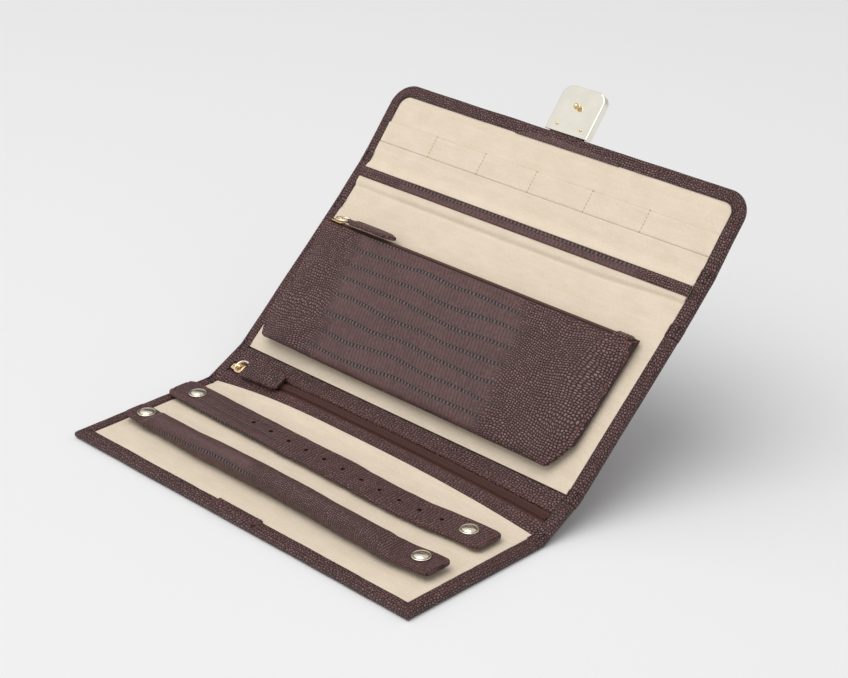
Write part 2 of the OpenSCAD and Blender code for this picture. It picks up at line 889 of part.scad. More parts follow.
base_leather();
base_board();
base_lining();
zip_pocket_bag();
edge_patch();
clasp_keeper();
keeper_spring();
base_studs();
roll_anchor();
roll_anchor_cap();
strap_anchor();
strap_anchor_cap();
roll_cover();
roll_core();
roll_cap();
roll_socket();
earring_strap();
strap_cap();
strap_socket();
lower_spine_leather();
lower_spine_felt();
zip_band_front();
zip_band_rear();
pocket_zip_tape();
pocket_zip_coil();
pocket_zip_slider();
pocket_pull_ring();
pocket_pull_tab();
back_leather();
back_board();
back_lining();
slip_pocket();
pouch_studs();
upper_spine_leather();
upper_spine_felt();
upper_spine_lining();
binding_strip();
flap_leather();
flap_board();
flap_lining();
pendant_pocket();
loop_strip();
flap_patch();
clasp_tongue();
clasp_plate();
clasp_rivets();
clasp_post();
pouch_front();
pouch_back();
pouch_lining();
pouch_zip_tape();
pouch_zip_coil();
pouch_zip_end_tab();
pouch_sockets();
pouch_zip_slider();
pouch_pull_ring();
pouch_pull_tab();
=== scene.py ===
import json
import math

import bmesh
import bpy
import numpy as np
from mathutils import Matrix, Vector, noise


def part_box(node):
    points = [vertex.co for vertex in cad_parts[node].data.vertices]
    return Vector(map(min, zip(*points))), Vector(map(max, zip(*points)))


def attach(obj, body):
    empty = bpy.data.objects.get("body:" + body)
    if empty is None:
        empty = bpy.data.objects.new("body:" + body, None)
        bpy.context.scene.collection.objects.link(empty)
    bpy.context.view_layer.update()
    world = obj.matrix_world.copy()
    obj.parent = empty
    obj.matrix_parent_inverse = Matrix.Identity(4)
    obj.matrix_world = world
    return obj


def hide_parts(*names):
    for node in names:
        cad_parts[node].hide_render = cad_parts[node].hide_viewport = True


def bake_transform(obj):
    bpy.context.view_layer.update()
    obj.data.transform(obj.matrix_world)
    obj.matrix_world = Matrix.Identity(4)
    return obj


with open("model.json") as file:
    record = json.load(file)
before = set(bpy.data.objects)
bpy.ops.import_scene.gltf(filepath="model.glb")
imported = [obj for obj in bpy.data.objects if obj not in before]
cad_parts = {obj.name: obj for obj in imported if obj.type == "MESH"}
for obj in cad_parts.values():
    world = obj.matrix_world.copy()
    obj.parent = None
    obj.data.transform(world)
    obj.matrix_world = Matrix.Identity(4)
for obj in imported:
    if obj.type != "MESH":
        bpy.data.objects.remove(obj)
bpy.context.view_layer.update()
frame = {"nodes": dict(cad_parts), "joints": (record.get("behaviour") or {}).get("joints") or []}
print("stage: frame loaded")

# Panel frames: x along the case, v up the panel from its lower fold, w out of its inside face.
# Sizes in the dictionaries are millimetres, and the finished meshes are metres.
joints = {joint["name"]: joint for joint in frame["joints"]}
folds = ["lower_fold", "back_fold", "upper_fold", "flap_fold"]
foldPoint = [np.array(joints[f]["pos_m"])[1:] * 1000 for f in folds]
foldTurn = [joints[f]["range_deg"][1] for f in folds]
slope = [math.radians(sum(foldTurn[: i + 1])) for i in range(4)]
low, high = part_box("base_leather")
case = {
    "width": (high.x - low.x) * 1000,
    "baseDepth": foldPoint[0][0] - low.y * 1000,
    "lowerSpine": float(np.linalg.norm(foldPoint[1] - foldPoint[0])),
    "back": float(np.linalg.norm(foldPoint[2] - foldPoint[1])),
    "upperSpine": float(np.linalg.norm(foldPoint[3] - foldPoint[2])),
    "flap": 45.0,
    "thickness": 4.0,
    "border": 7.0,
    "foldGap": 0.25,
    "suedeTop": -0.4,
    "suedeBottom": -1.0,
    "flapCorner": 13.0,
}
half = case["width"] / 2
inner = half - case["border"]
panels = {
    "base": (low.y * 1000, case["thickness"], 0.0),
    "lower_spine": (*foldPoint[0], slope[0]),
    "back_panel": (*foldPoint[1], slope[1]),
    "upper_spine": (*foldPoint[2], slope[2]),
    "flap": (*foldPoint[3], slope[3]),
}
panelLength = {
    "base": case["baseDepth"],
    "lower_spine": case["lowerSpine"],
    "back_panel": case["back"],
    "upper_spine": case["upperSpine"],
    "flap": case["flap"],
}


bowLook = {"peak": 5.4, "center": -28.0, "left": 84.0, "right": 140.0, "power": 2.6}
bowLook["share"] = [(0, 1), (8.5, 0.5), (14.5, 0.45), (26, 0)]  # of the peak, up the spine


# the zip and its bands bow up the lower spine between their ends
def spineBow(x, v):
    away = x - bowLook["center"]
    t = np.abs(np.where(away < 0, away / bowLook["left"], away / bowLook["right"]))
    fade = 1 - np.clip(t, 0, 1) ** bowLook["power"]
    return bowLook["peak"] * fade * np.interp(v, *zip(*bowLook["share"]))


# points of a panel's own frame, given in mm and returned in metres
def flatAt(panel, x, v, w):
    y0, z0, a = panels[panel]
    x, v, w = np.broadcast_arrays(np.asarray(x, float), v, w)
    y = y0 + v * math.cos(a) - w * math.sin(a)
    z = z0 + v * math.sin(a) + w * math.cos(a)
    return np.stack([x, y, z], -1) / 1000


def at(panel, x, v, w):
    if panel == "lower_spine":
        x, v, w = np.broadcast_arrays(np.asarray(x, float), v, w)
        v = v + np.where(w > -1.95, spineBow(x, v), 0.0)
    return flatAt(panel, x, v, w)


# direction of a panel's own vector in the shared frame
def along(panel, x, v, w):
    a = panels[panel][2]
    return Vector((x, v * math.cos(a) - w * math.sin(a), v * math.sin(a) + w * math.cos(a)))


def smooth(t):
    t = np.clip(t, 0, 1)
    return t * t * (3 - 2 * t)


# soft unevenness of hand-made leather, the same on every run
def unevenness(x, y, size, seed=0.0):
    x, y = np.broadcast_arrays(np.asarray(x, float), np.asarray(y, float))
    flat = [noise.noise(Vector((p / size, q / size, seed))) for p, q in zip(x.ravel(), y.ravel())]
    return np.array(flat).reshape(x.shape)


# one rectangular net of points; skin is the leather's own coordinates in mm, kept as a UV map
def net(points, skin, wrap=False, caps=False):
    return {"points": points, "skin": skin, "wrap": wrap, "caps": caps, "paint": 0}


# rings of points swept into a closed tube
def tube(rings, skins):
    return net(np.array(rings), np.array(skins), wrap=True, caps=True)


# two facing sheets, closed by a strip along each of their four edges
def closedSheets(top, bottom, skin, edgeSkin):
    nets = [net(top, skin), net(bottom, skin)]
    for edge in (np.s_[0, :], np.s_[-1, :], np.s_[:, 0], np.s_[:, -1]):
        side = np.stack([skin[edge], skin[edge] + edgeSkin], 1)
        nets.append(net(np.stack([top[edge], bottom[edge]], 1), side))
    return nets


def makePiece(name, nets, materials, sharp=38):
    verts, faces, uvs, paints, start = [], [], [], [], 0
    for n in nets:
        p, s = n["points"], n["skin"]
        rows, cols = p.shape[:2]
        ids = np.arange(rows * cols).reshape(rows, cols) + start
        if n["wrap"]:
            ids = np.concatenate([ids, ids[:, :1]], 1)
        quad = np.stack([ids[:-1, :-1], ids[1:, :-1], ids[1:, 1:], ids[:-1, 1:]], -1).reshape(-1, 4)
        quadSkin = np.stack([s[:-1, :-1], s[1:, :-1], s[1:, 1:], s[:-1, 1:]], -2).reshape(-1, 4, 2)
        faces += quad.tolist()
        uvs += quadSkin.reshape(-1, 2).tolist()
        paints += [n["paint"]] * len(quad)
        if n["caps"]:
            for row, order in ((0, 1), (rows - 1, -1)):
                ring = ids[row, :-1] if n["wrap"] else ids[row]
                ringSkin = s[row, : len(ring)]
                faces.append(ring[::order].tolist())
                uvs += ringSkin[::order].tolist()
                paints.append(n["paint"])
        verts.append(p.reshape(-1, 3))
        start += rows * cols
    mesh = bpy.data.meshes.new(name)
    mesh.from_pydata(np.concatenate(verts).tolist(), [], faces)
    layer = mesh.uv_layers.new(name="skin")
    layer.data.foreach_set("uv", np.array(uvs, np.float32).ravel())
    mesh.polygons.foreach_set("material_index", paints)
    bm = bmesh.new()
    bm.from_mesh(mesh)
    bmesh.ops.remove_doubles(bm, verts=bm.verts, dist=2e-6)
    bmesh.ops.dissolve_degenerate(bm, edges=bm.edges, dist=1e-7)
    bmesh.ops.recalc_face_normals(bm, faces=bm.faces)
    bm.to_mesh(mesh)
    bm.free()
    mesh.polygons.foreach_set("use_smooth", [True] * len(mesh.polygons))
    mesh.set_sharp_from_angle(angle=math.radians(sharp))
    for material in materials:
        mesh.materials.append(material)
    obj = bpy.data.objects.new(name, mesh)
    bpy.context.scene.collection.objects.link(obj)
    return obj


# hides the CAD parts that a finished piece stands for, and makes it move with its body
def fit(piece, slot, body, *nodes):
    if nodes:
        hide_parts(*nodes)
    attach(piece, body)
    return piece


# takes what the modifiers show into a plain mesh
def settle(obj):
    shown = obj.evaluated_get(bpy.context.evaluated_depsgraph_get())
    mesh = bpy.data.meshes.new_from_object(shown)
    obj.modifiers.clear()
    obj.data = mesh
    return obj


def settleAs(name, source):
    shown = source.evaluated_get(bpy.context.evaluated_depsgraph_get())
    mesh = bpy.data.meshes.new_from_object(shown)
    mesh.name = name
    made = bpy.data.objects.new(name, mesh)
    bpy.context.scene.collection.objects.link(made)
    bpy.data.objects.remove(source)
    return made


# a flat slab on a panel: top(x, v) and bottom(x, v) give its two faces
def slab(panel, xs, vs, top, bottom):
    x, v = np.meshgrid(np.asarray(xs, float), np.asarray(vs, float), indexing="ij")
    upper, lower = at(panel, x, v, top(x, v) + 0 * x), at(panel, x, v, bottom(x, v) + 0 * x)
    return closedSheets(upper, lower, np.stack([x, v], -1), [0.0, -0.6])


def steps(start, stop, size):
    return np.linspace(start, stop, max(2, int(round(abs(stop - start) / size)) + 1))


# even steps with closer ones at both ends
def closeSteps(start, stop, ends, inset, size):
    ends = np.array(ends)
    return np.unique(np.concatenate([start + ends, steps(start + inset, stop - inset, size), stop - ends]))


# steps round a quarter turn of radius r, from its end inwards
def cornerSteps(r):
    return r * (1 - np.cos(np.radians(np.arange(0, 91, 15))))


# how far a round corner of radius r draws a side in, at a distance from the end
def cornerIn(away, r):
    return r - math.sqrt(max(0.0, r ** 2 - (r - away) ** 2)) if away < r else 0.0


# a soft-cornered section of half sizes a and b; smaller curves are squarer
def softSection(angles, a, b, sideCurve, topCurve):
    c, s = np.cos(angles), np.sin(angles)
    return a * np.sign(c) * np.abs(c) ** sideCurve, b * np.sign(s) * np.abs(s) ** topCurve


# the length so far round a closed section
def runRound(a, b):
    sides = np.hypot(np.diff(np.append(a, a[0])), np.diff(np.append(b, b[0])))
    return np.concatenate([[0], np.cumsum(sides)])


def around(count):
    return np.linspace(0, 2 * np.pi, count, endpoint=False)


class Nodes:
    # short way to add nodes and links to a tree
    def __init__(self, tree):
        self.tree = tree

    def add(self, kind, **values):
        node = self.tree.nodes.new(kind)
        for key, value in values.items():
            if hasattr(node, key):
                setattr(node, key, value)
            else:
                node.inputs[key].default_value = value
        return node

    def link(self, source, target):
        self.tree.links.new(source, target)

    def put(self, socket, value):
        if isinstance(value, bpy.types.NodeSocket):
            self.tree.links.new(value, socket)
        else:
            socket.default_value = value

    def math(self, operation, a, b=0.0, c=0.0, clamp=False):
        node = self.tree.nodes.new("ShaderNodeMath")
        node.operation, node.use_clamp = operation, clamp
        for socket, value in zip(node.inputs, (a, b, c)):
            self.put(socket, value)
        return node.outputs[0]

    def times(self, a, b, clamp=False):
        return self.math("MULTIPLY", a, b, clamp=clamp)

    def plus(self, a, b):
        return self.math("ADD", a, b)

    def minus(self, a, b):
        return self.math("SUBTRACT", a, b)

    def over(self, a, b):
        return self.math("DIVIDE", a, b)

    def timesPlus(self, a, b, c, clamp=False):
        return self.math("MULTIPLY_ADD", a, b, c, clamp)

    def vector(self, operation, a, b=(0, 0, 0)):
        node = self.tree.nodes.new("ShaderNodeVectorMath")
        node.operation = operation
        self.put(node.inputs[0], a)
        if operation == "SCALE":
            self.put(node.inputs["Scale"], b)
        else:
            self.put(node.inputs[1], b)
        return node.outputs[0]

    def ramp(self, value, fromLow, fromHigh, toLow=0.0, toHigh=1.0, soft=True):
        node = self.tree.nodes.new("ShaderNodeMapRange")
        node.interpolation_type = "SMOOTHSTEP" if soft else "LINEAR"
        for socket, item in zip(node.inputs, (value, fromLow, fromHigh, toLow, toHigh)):
            self.put(socket, item)
        return node.outputs[0]

    def mix(self, factor, a, b):
        node = self.tree.nodes.new("ShaderNodeMix")
        node.data_type = "FLOAT"
        for name, value in (("Factor", factor), ("A", a), ("B", b)):
            self.put(next(s for s in node.inputs if s.name == name and s.enabled), value)
        return next(s for s in node.outputs if s.enabled)

    def mixColor(self, factor, a, b, blend="MIX"):
        node = self.tree.nodes.new("ShaderNodeMix")
        node.data_type, node.blend_type = "RGBA", blend
        for name, value in (("Factor", factor), ("A", a), ("B", b)):
            socket = next(s for s in node.inputs if s.name == name and s.enabled)
            if isinstance(value, tuple) and len(value) == 3:
                value = (*value, 1.0)
            self.put(socket, value)
        return next(s for s in node.outputs if s.enabled)

    def split(self, vector):
        node = self.tree.nodes.new("ShaderNodeSeparateXYZ")
        self.put(node.inputs[0], vector)
        return node.outputs

    def shades(self, factor, color, low, high):
        return self.mixColor(factor, *(tuple(min(1, c * k) for c in color) for k in (low, high)))

    def noise(self, vector, scale, detail=2.0, roughness=0.5):
        node = self.tree.nodes.new("ShaderNodeTexNoise")
        self.put(node.inputs["Vector"], vector)
        self.put(node.inputs["Scale"], scale)
        node.inputs["Detail"].default_value = detail
        node.inputs["Roughness"].default_value = roughness
        return node


def newGroup(name, inputs, outputs):
    tree = bpy.data.node_groups.new(name, "ShaderNodeTree")
    for label, value in inputs.items():
        kind = "NodeSocketVector" if isinstance(value, tuple) else "NodeSocketFloat"
        socket = tree.interface.new_socket(label, in_out="INPUT", socket_type=kind)
        socket.default_value = value
    for label in outputs:
        tree.interface.new_socket(label, in_out="OUTPUT", socket_type="NodeSocketFloat")
    n = Nodes(tree)
    return n, tree.nodes.new("NodeGroupInput"), tree.nodes.new("NodeGroupOutput")


def useGroup(n, tree, vector, values):
    node = n.tree.nodes.new("ShaderNodeGroup")
    node.node_tree = tree
    n.put(node.inputs["Vector"], vector)
    for label, value in values.items():
        n.put(node.inputs[label], value)
    return node


# small rounded scales in uneven rows, with grooves between them
def lizardScalesGroup():
    n, given, out = newGroup(
        "lizardScales",
        {"Vector": (0.0, 0.0, 0.0), "Size": 1.2, "Stretch": 1.2, "Disorder": 0.5, "Flow": 5.0},
        ["Height", "Groove", "Tone"],
    )
    broad = n.noise(given.outputs["Vector"], 0.028, 1.5)
    shift = n.vector("SUBTRACT", broad.outputs["Color"], (0.5, 0.5, 0.5))
    flowed = n.vector("ADD", given.outputs["Vector"], n.vector("SCALE", shift, given.outputs["Flow"]))
    parts = n.add("ShaderNodeSeparateXYZ")
    n.link(flowed, parts.inputs[0])
    across = n.times(given.outputs["Size"], given.outputs["Stretch"])
    cell = n.add("ShaderNodeCombineXYZ")
    n.link(n.over(parts.outputs[0], across), cell.inputs[0])
    n.link(n.over(parts.outputs[1], given.outputs["Size"]), cell.inputs[1])
    edge = n.add("ShaderNodeTexVoronoi", voronoi_dimensions="2D", feature="DISTANCE_TO_EDGE", Scale=1.0)
    body = n.add("ShaderNodeTexVoronoi", voronoi_dimensions="2D", feature="F1", Scale=1.0)
    for node in (edge, body):
        n.link(cell.outputs[0], node.inputs["Vector"])
        n.link(given.outputs["Disorder"], node.inputs["Randomness"])
    scale = n.ramp(edge.outputs["Distance"], 0.02, 0.24)
    fine = n.noise(given.outputs["Vector"], 3.2, 2.0)
    height = n.timesPlus(fine.outputs["Fac"], 0.16, scale)
    dome = n.minus(height, n.times(body.outputs["Distance"], 0.35))
    n.link(dome, out.inputs["Height"])
    n.link(n.minus(1.0, scale), out.inputs["Groove"])
    tone = n.add("ShaderNodeSeparateColor")
    n.link(body.outputs["Color"], tone.inputs[0])
    n.link(tone.outputs[0], out.inputs["Tone"])
    return n.tree


# wide belly scales in long rows, parted by lines of short creases; Glint is the row line between the crease
# dashes, where a highlight is painted
def bellyRowsGroup():
    n, given, out = newGroup(
        "bellyRows",
        {"Vector": (0.0, 0.0, 0.0), "Row": 7.6, "Scale": 2.1, "Wave": 5.0, "Lean": 0.35},
        ["Height", "Crease", "Glint"],
    )
    parts = n.add("ShaderNodeSeparateXYZ")
    n.link(given.outputs["Vector"], parts.inputs[0])
    long = n.add("ShaderNodeCombineXYZ")
    n.link(n.times(parts.outputs[0], 0.018), long.inputs[0])
    n.link(n.times(parts.outputs[1], 0.03), long.inputs[1])
    drift = n.noise(long.outputs[0], 1.0, 1.0)
    bend = n.times(n.minus(drift.outputs["Fac"], 0.5), given.outputs["Wave"])
    y = n.plus(parts.outputs[1], bend)
    rowAt = n.minus(n.math("FRACT", n.over(y, given.outputs["Row"])), 0.5)
    away = n.times(rowAt, given.outputs["Row"])
    line = n.minus(1.0, n.ramp(n.math("ABSOLUTE", away), 0.4, 1.15))
    x = n.plus(parts.outputs[0], n.times(y, given.outputs["Lean"]))
    jitter = n.noise(given.outputs["Vector"], 0.22, 1.0)
    x = n.plus(x, n.times(jitter.outputs["Fac"], 1.4))
    inScale = n.math("FRACT", n.over(x, given.outputs["Scale"]))
    turn = n.math("ABSOLUTE", n.minus(inScale, 0.5))
    dash = n.minus(1.0, n.ramp(turn, 0.16, 0.34))
    parting = n.ramp(turn, 0.38, 0.5)
    crease = n.times(line, dash)
    height = n.minus(1.0, crease)
    height = n.minus(height, n.times(line, 0.25))
    height = n.minus(height, n.times(parting, 0.45))
    n.link(height, out.inputs["Height"])
    n.link(crease, out.inputs["Crease"])
    n.link(n.times(n.minus(line, crease), 1.0, clamp=True), out.inputs["Glint"])
    return n.tree


# slow changes of tone and gloss from handling
def handlingGroup():
    n, given, out = newGroup("handling", {"Vector": (0.0, 0.0, 0.0), "Spread": 30.0}, ["Tone", "Gloss"])
    size = n.over(1.0, given.outputs["Spread"])
    broad = n.noise(given.outputs["Vector"], size, 3.0)
    small = n.noise(given.outputs["Vector"], n.times(size, 4.0), 4.0, 0.6)
    n.link(n.ramp(broad.outputs["Fac"], 0.3, 0.7), out.inputs["Tone"])
    n.link(n.ramp(small.outputs["Fac"], 0.3, 0.7), out.inputs["Gloss"])
    return n.tree


lizardScales = lizardScalesGroup()
bellyRows = bellyRowsGroup()
handling = handlingGroup()


def newMaterial(name):
    material = bpy.data.materials.new(name)
    material.use_nodes = True
    n = Nodes(material.node_tree)
    shader = material.node_tree.nodes["Principled BSDF"]
    return material, n, shader


def skinVector(n):
    node = n.add("ShaderNodeUVMap")
    node.uv_map = "skin"
    return node.outputs[0]


def objectVector(n, scale=1000.0):
    coord = n.add("ShaderNodeTexCoord")
    return n.vector("SCALE", coord.outputs["Object"], scale)


def bump(n, shader, height, distance, strength=1.0):
    node = n.add("ShaderNodeBump", Strength=strength, Distance=distance)
    n.link(height, node.inputs["Height"])
    n.link(node.outputs[0], shader.inputs["Normal"])


leatherLook = {
    # groove colour: partly the leather's own darker grooves, partly painted shade
    "dark": (0.018, 0.0072, 0.0072),
    "mid": (0.09, 0.0368, 0.035),
    "light": (0.13, 0.0595, 0.056),
    # pale scale crowns: partly their own paler tone, partly a painted highlight
    "tip": (0.25, 0.14, 0.133),
    # belly crease dashes: partly their own darker creases, partly painted shade
    "crease": (0.018, 0.012, 0.0125),
    "roughness": 0.38,
}


def leatherMaterial(name, size=1.15, stretch=1.15, disorder=0.55, flow=6.0, depth=0.00022, belly=None):
    material, n, shader = newMaterial(name)
    skin = skinVector(n)
    grain = {"Size": size, "Stretch": stretch, "Disorder": disorder, "Flow": flow}
    scales = useGroup(n, lizardScales, skin, grain)
    hand = useGroup(n, handling, skin, {"Spread": 26.0})
    height, groove = scales.outputs["Height"], scales.outputs["Groove"]
    crease = glint = None
    if belly:
        rows = useGroup(n, bellyRows, skin, {k: belly[k] for k in ("Row", "Scale", "Wave", "Lean")})
        parts = n.split(skin)
        ragged = n.noise(skin, 0.06, 2.0)
        x = n.plus(parts[0], n.times(ragged.outputs["Fac"], belly["ragged"]))
        x = n.plus(x, n.times(parts[1], belly["tilt"]))
        opens = n.ramp(x, belly["from"] - 8, belly["from"] + 8)
        zone = n.times(opens, n.ramp(x, belly["to"] + 10, belly["to"] - 10))
        height = n.mix(zone, height, rows.outputs["Height"])
        low = n.timesPlus(n.minus(1.0, rows.outputs["Height"]), 0.5, 0.36, clamp=True)
        groove = n.mix(zone, groove, low)
        crease = n.times(zone, rows.outputs["Crease"])
        glint = n.times(zone, rows.outputs["Glint"])
    tone = n.timesPlus(scales.outputs["Tone"], 0.35, n.times(hand.outputs["Tone"], 0.65))
    color = n.mixColor(tone, leatherLook["mid"], leatherLook["light"])
    # partly painted shade: grooves between scales, and the low parts of belly rows, are mixed towards the
    # dark groove colour, partly the leather's own darker grooves
    color = n.mixColor(n.times(groove, 0.9, clamp=True), color, leatherLook["dark"])
    # partly painted highlight: the high crowns of the scales are mixed towards the pale crown colour, less so
    # in belly zones
    tip = n.times(n.ramp(height, 0.72, 1.05), n.timesPlus(scales.outputs["Tone"], 0.75, 0.05))
    if belly:
        tip = n.times(tip, n.timesPlus(zone, -0.8, 1.0))
    color = n.mixColor(tip, color, leatherLook["tip"])
    if crease is not None:
        # partly painted shade: the belly crease dashes are mixed towards the dark crease colour, partly their
        # own darker creases
        color = n.mixColor(n.times(crease, 0.9, clamp=True), color, leatherLook["crease"])
        # painted highlight: a pale glint along the belly row lines between the crease dashes
        color = n.mixColor(n.times(glint, 0.5, clamp=True), color, (0.22, 0.185, 0.185))
    n.link(color, shader.inputs["Base Color"])
    rough = n.timesPlus(hand.outputs["Gloss"], 0.1, leatherLook["roughness"])
    n.link(n.timesPlus(groove, 0.22, rough, clamp=True), shader.inputs["Roughness"])
    shader.inputs["Specular IOR Level"].default_value = 0.45
    bump(n, shader, height, depth)
    return material


suedeLook = {
    "light": (0.785, 0.672, 0.54),
    "dark": (0.68, 0.57, 0.435),
}


def suedeMaterial(name, light, dark, depth=0.00012):
    material, n, shader = newMaterial(name)
    skin = skinVector(n)
    hand = useGroup(n, handling, skin, {"Spread": 14.0})
    stretched = n.vector("MULTIPLY", skin, (1.0, 0.55, 1.0))
    nap = n.noise(stretched, 1.1, 5.0, 0.65)
    pile = n.noise(skin, 4.5, 3.0, 0.6)
    streak = n.noise(n.vector("MULTIPLY", skin, (0.05, 0.35, 1.0)), 1.0, 3.0, 0.6)
    tone = n.timesPlus(nap.outputs["Fac"], 0.65, n.times(hand.outputs["Tone"], 0.12))
    tone = n.timesPlus(streak.outputs["Fac"], 0.35, tone)
    color = n.mixColor(n.ramp(tone, 0.3, 0.8), dark, light)
    n.link(color, shader.inputs["Base Color"])
    n.link(n.timesPlus(nap.outputs["Fac"], 0.1, 0.86, clamp=True), shader.inputs["Roughness"])
    shader.inputs["Specular IOR Level"].default_value = 0.12
    shader.inputs["Sheen Weight"].default_value = 0.25
    shader.inputs["Sheen Roughness"].default_value = 0.6
    shader.inputs["Sheen Tint"].default_value = (1.0, 0.93, 0.82, 1.0)
    height = n.timesPlus(pile.outputs["Fac"], 0.6, nap.outputs["Fac"])
    bump(n, shader, height, depth)
    return material


def goldMaterial(name, color=(0.90, 0.80, 0.62), roughness=0.11):
    material, n, shader = newMaterial(name)
    place = objectVector(n)
    hand = useGroup(n, handling, place, {"Spread": 9.0})
    brushed = n.noise(n.vector("MULTIPLY", place, (6.0, 0.5, 6.0)), 1.0, 3.0)
    n.link(n.shades(hand.outputs["Tone"], color, 1, 0.93), shader.inputs["Base Color"])
    shader.inputs["Metallic"].default_value = 1.0
    rough = n.timesPlus(hand.outputs["Gloss"], 0.05, roughness)
    n.link(n.timesPlus(brushed.outputs["Fac"], 0.03, rough), shader.inputs["Roughness"])
    bump(n, shader, brushed.outputs["Fac"], 0.000002)
    return material


def threadMaterial(name, color):
    material, n, shader = newMaterial(name)
    place = objectVector(n)
    twist = n.noise(place, 5.0, 2.0)
    hand = useGroup(n, handling, place, {"Spread": 12.0})
    tone = n.timesPlus(twist.outputs["Fac"], 0.6, n.times(hand.outputs["Tone"], 0.3))
    n.link(n.shades(tone, color, 0.6, 1.35), shader.inputs["Base Color"])
    n.link(n.timesPlus(twist.outputs["Fac"], 0.2, 0.5), shader.inputs["Roughness"])
    bump(n, shader, twist.outputs["Fac"], 0.00005)
    return material


def tapeMaterial(name, color=(0.105, 0.036, 0.024)):
    material, n, shader = newMaterial(name)
    parts = n.split(skinVector(n))
    rib = n.math("SINE", n.times(parts[0], 9.0))
    weft = n.math("SINE", n.times(n.plus(parts[1], n.times(parts[0], 0.6)), 12.0))
    weave = n.timesPlus(n.times(rib, weft), 0.5, 0.5)
    n.link(n.shades(weave, color, 0.55, 1.25), shader.inputs["Base Color"])
    n.link(n.timesPlus(weave, -0.15, 0.75), shader.inputs["Roughness"])
    bump(n, shader, weave, 0.0001)
    return material


def coilMaterial(name, color=(0.085, 0.03, 0.022)):
    material, n, shader = newMaterial(name)
    place = objectVector(n)
    grain = n.noise(place, 2.5, 2.0)
    n.link(n.shades(grain.outputs["Fac"], color, 0.7, 1.4), shader.inputs["Base Color"])
    n.link(n.timesPlus(grain.outputs["Fac"], 0.15, 0.3), shader.inputs["Roughness"])
    return material


def plainGrainMaterial(name, dark, light, size, roughness, depth):
    material, n, shader = newMaterial(name)
    place = objectVector(n)
    grain = n.noise(place, 1.0 / size, 5.0, 0.65)
    hand = useGroup(n, handling, place, {"Spread": 18.0})
    tone = n.timesPlus(grain.outputs["Fac"], 0.7, n.times(hand.outputs["Tone"], 0.3))
    n.link(n.mixColor(tone, dark, light), shader.inputs["Base Color"])
    n.link(n.timesPlus(grain.outputs["Fac"], 0.1, roughness, clamp=True), shader.inputs["Roughness"])
    bump(n, shader, grain.outputs["Fac"], depth)
    return material


borderLeather = leatherMaterial("borderLeather", size=1.3, stretch=1.2, disorder=0.75, depth=0.0006)
bandLeather = leatherMaterial("bandLeather", size=1.3, stretch=1.5, disorder=0.75, depth=0.00055)
pouchLeather = leatherMaterial(
    "pouchLeather", size=1.4, stretch=1.25, disorder=0.55, flow=16.0, depth=0.00045,
    belly={
        "Row": 9.4, "Scale": 2.3, "Wave": 10.0, "Lean": 0.3,
        "ragged": 22.0, "tilt": 0.25, "from": -52.0, "to": 66.0,
    },
)
rollLeather = leatherMaterial(
    "rollLeather", size=0.95, stretch=1.35, disorder=0.5, flow=6.0, depth=0.00035,
    belly={
        "Row": 17.4, "Scale": 2.1, "Wave": 3.0, "Lean": 0.05,
        "ragged": 14.0, "tilt": 0.0, "from": -80.0, "to": -6.0,
    },
)
strapLeather = leatherMaterial(
    "strapLeather", size=1.2, stretch=1.5, disorder=0.55, flow=8.0, depth=0.00035,
    belly={
        "Row": 6.6, "Scale": 2.0, "Wave": 6.0, "Lean": 0.2,
        "ragged": 20.0, "tilt": 0.0, "from": -98.0, "to": -22.0,
    },
)
ladderLeather = leatherMaterial(
    "ladderLeather", size=1.2, stretch=1.3, disorder=0.6, flow=2.0, depth=0.0006,
    belly={
        "Row": 9.0, "Scale": 2.6, "Wave": 2.0, "Lean": 0.1,
        "ragged": 30.0, "tilt": 0.0, "from": -70.0, "to": 96.0,
    },
)
suede = suedeMaterial("suede", suedeLook["light"], suedeLook["dark"])
bagCloth = suedeMaterial("bagCloth", (0.6, 0.52, 0.42), (0.5, 0.43, 0.34))
paleGold = goldMaterial("paleGold", (0.93, 0.84, 0.68), 0.08)
warmGold = goldMaterial("warmGold", (0.88, 0.66, 0.36), 0.14)
innerMetal = goldMaterial("innerMetal", (0.7, 0.55, 0.33), 0.3)
leatherThread = threadMaterial("leatherThread", (0.21, 0.068, 0.062))
suedeThread = threadMaterial("suedeThread", (0.55, 0.33, 0.14))
rawEdge = plainGrainMaterial("rawEdge", (0.16, 0.06, 0.03), (0.32, 0.14, 0.065), 0.5, 0.75, 0.0001)
# the punched holes' walls are near black: painted shade inside the holes
holeWallShade = plainGrainMaterial("holeWallShade", (0.02, 0.011, 0.01), (0.05, 0.024, 0.018), 0.5, 0.8, 0.0001)
suedeEdge = plainGrainMaterial("suedeEdge", (0.15, 0.07, 0.035), (0.27, 0.14, 0.07), 0.4, 0.8, 0.0001)
zipTapeCloth = tapeMaterial("zipTapeCloth")
pouchTapeCloth = tapeMaterial("pouchTapeCloth", (0.33, 0.11, 0.07))
zipNylon = coilMaterial("zipNylon")
boardMaterial = plainGrainMaterial("fibreBoard", (0.22, 0.17, 0.12), (0.34, 0.27, 0.2), 1.2, 0.85, 0.0001)
feltMaterial = plainGrainMaterial("felt", (0.05, 0.045, 0.045), (0.12, 0.11, 0.11), 0.7, 0.9, 0.0002)
print("stage: materials built")


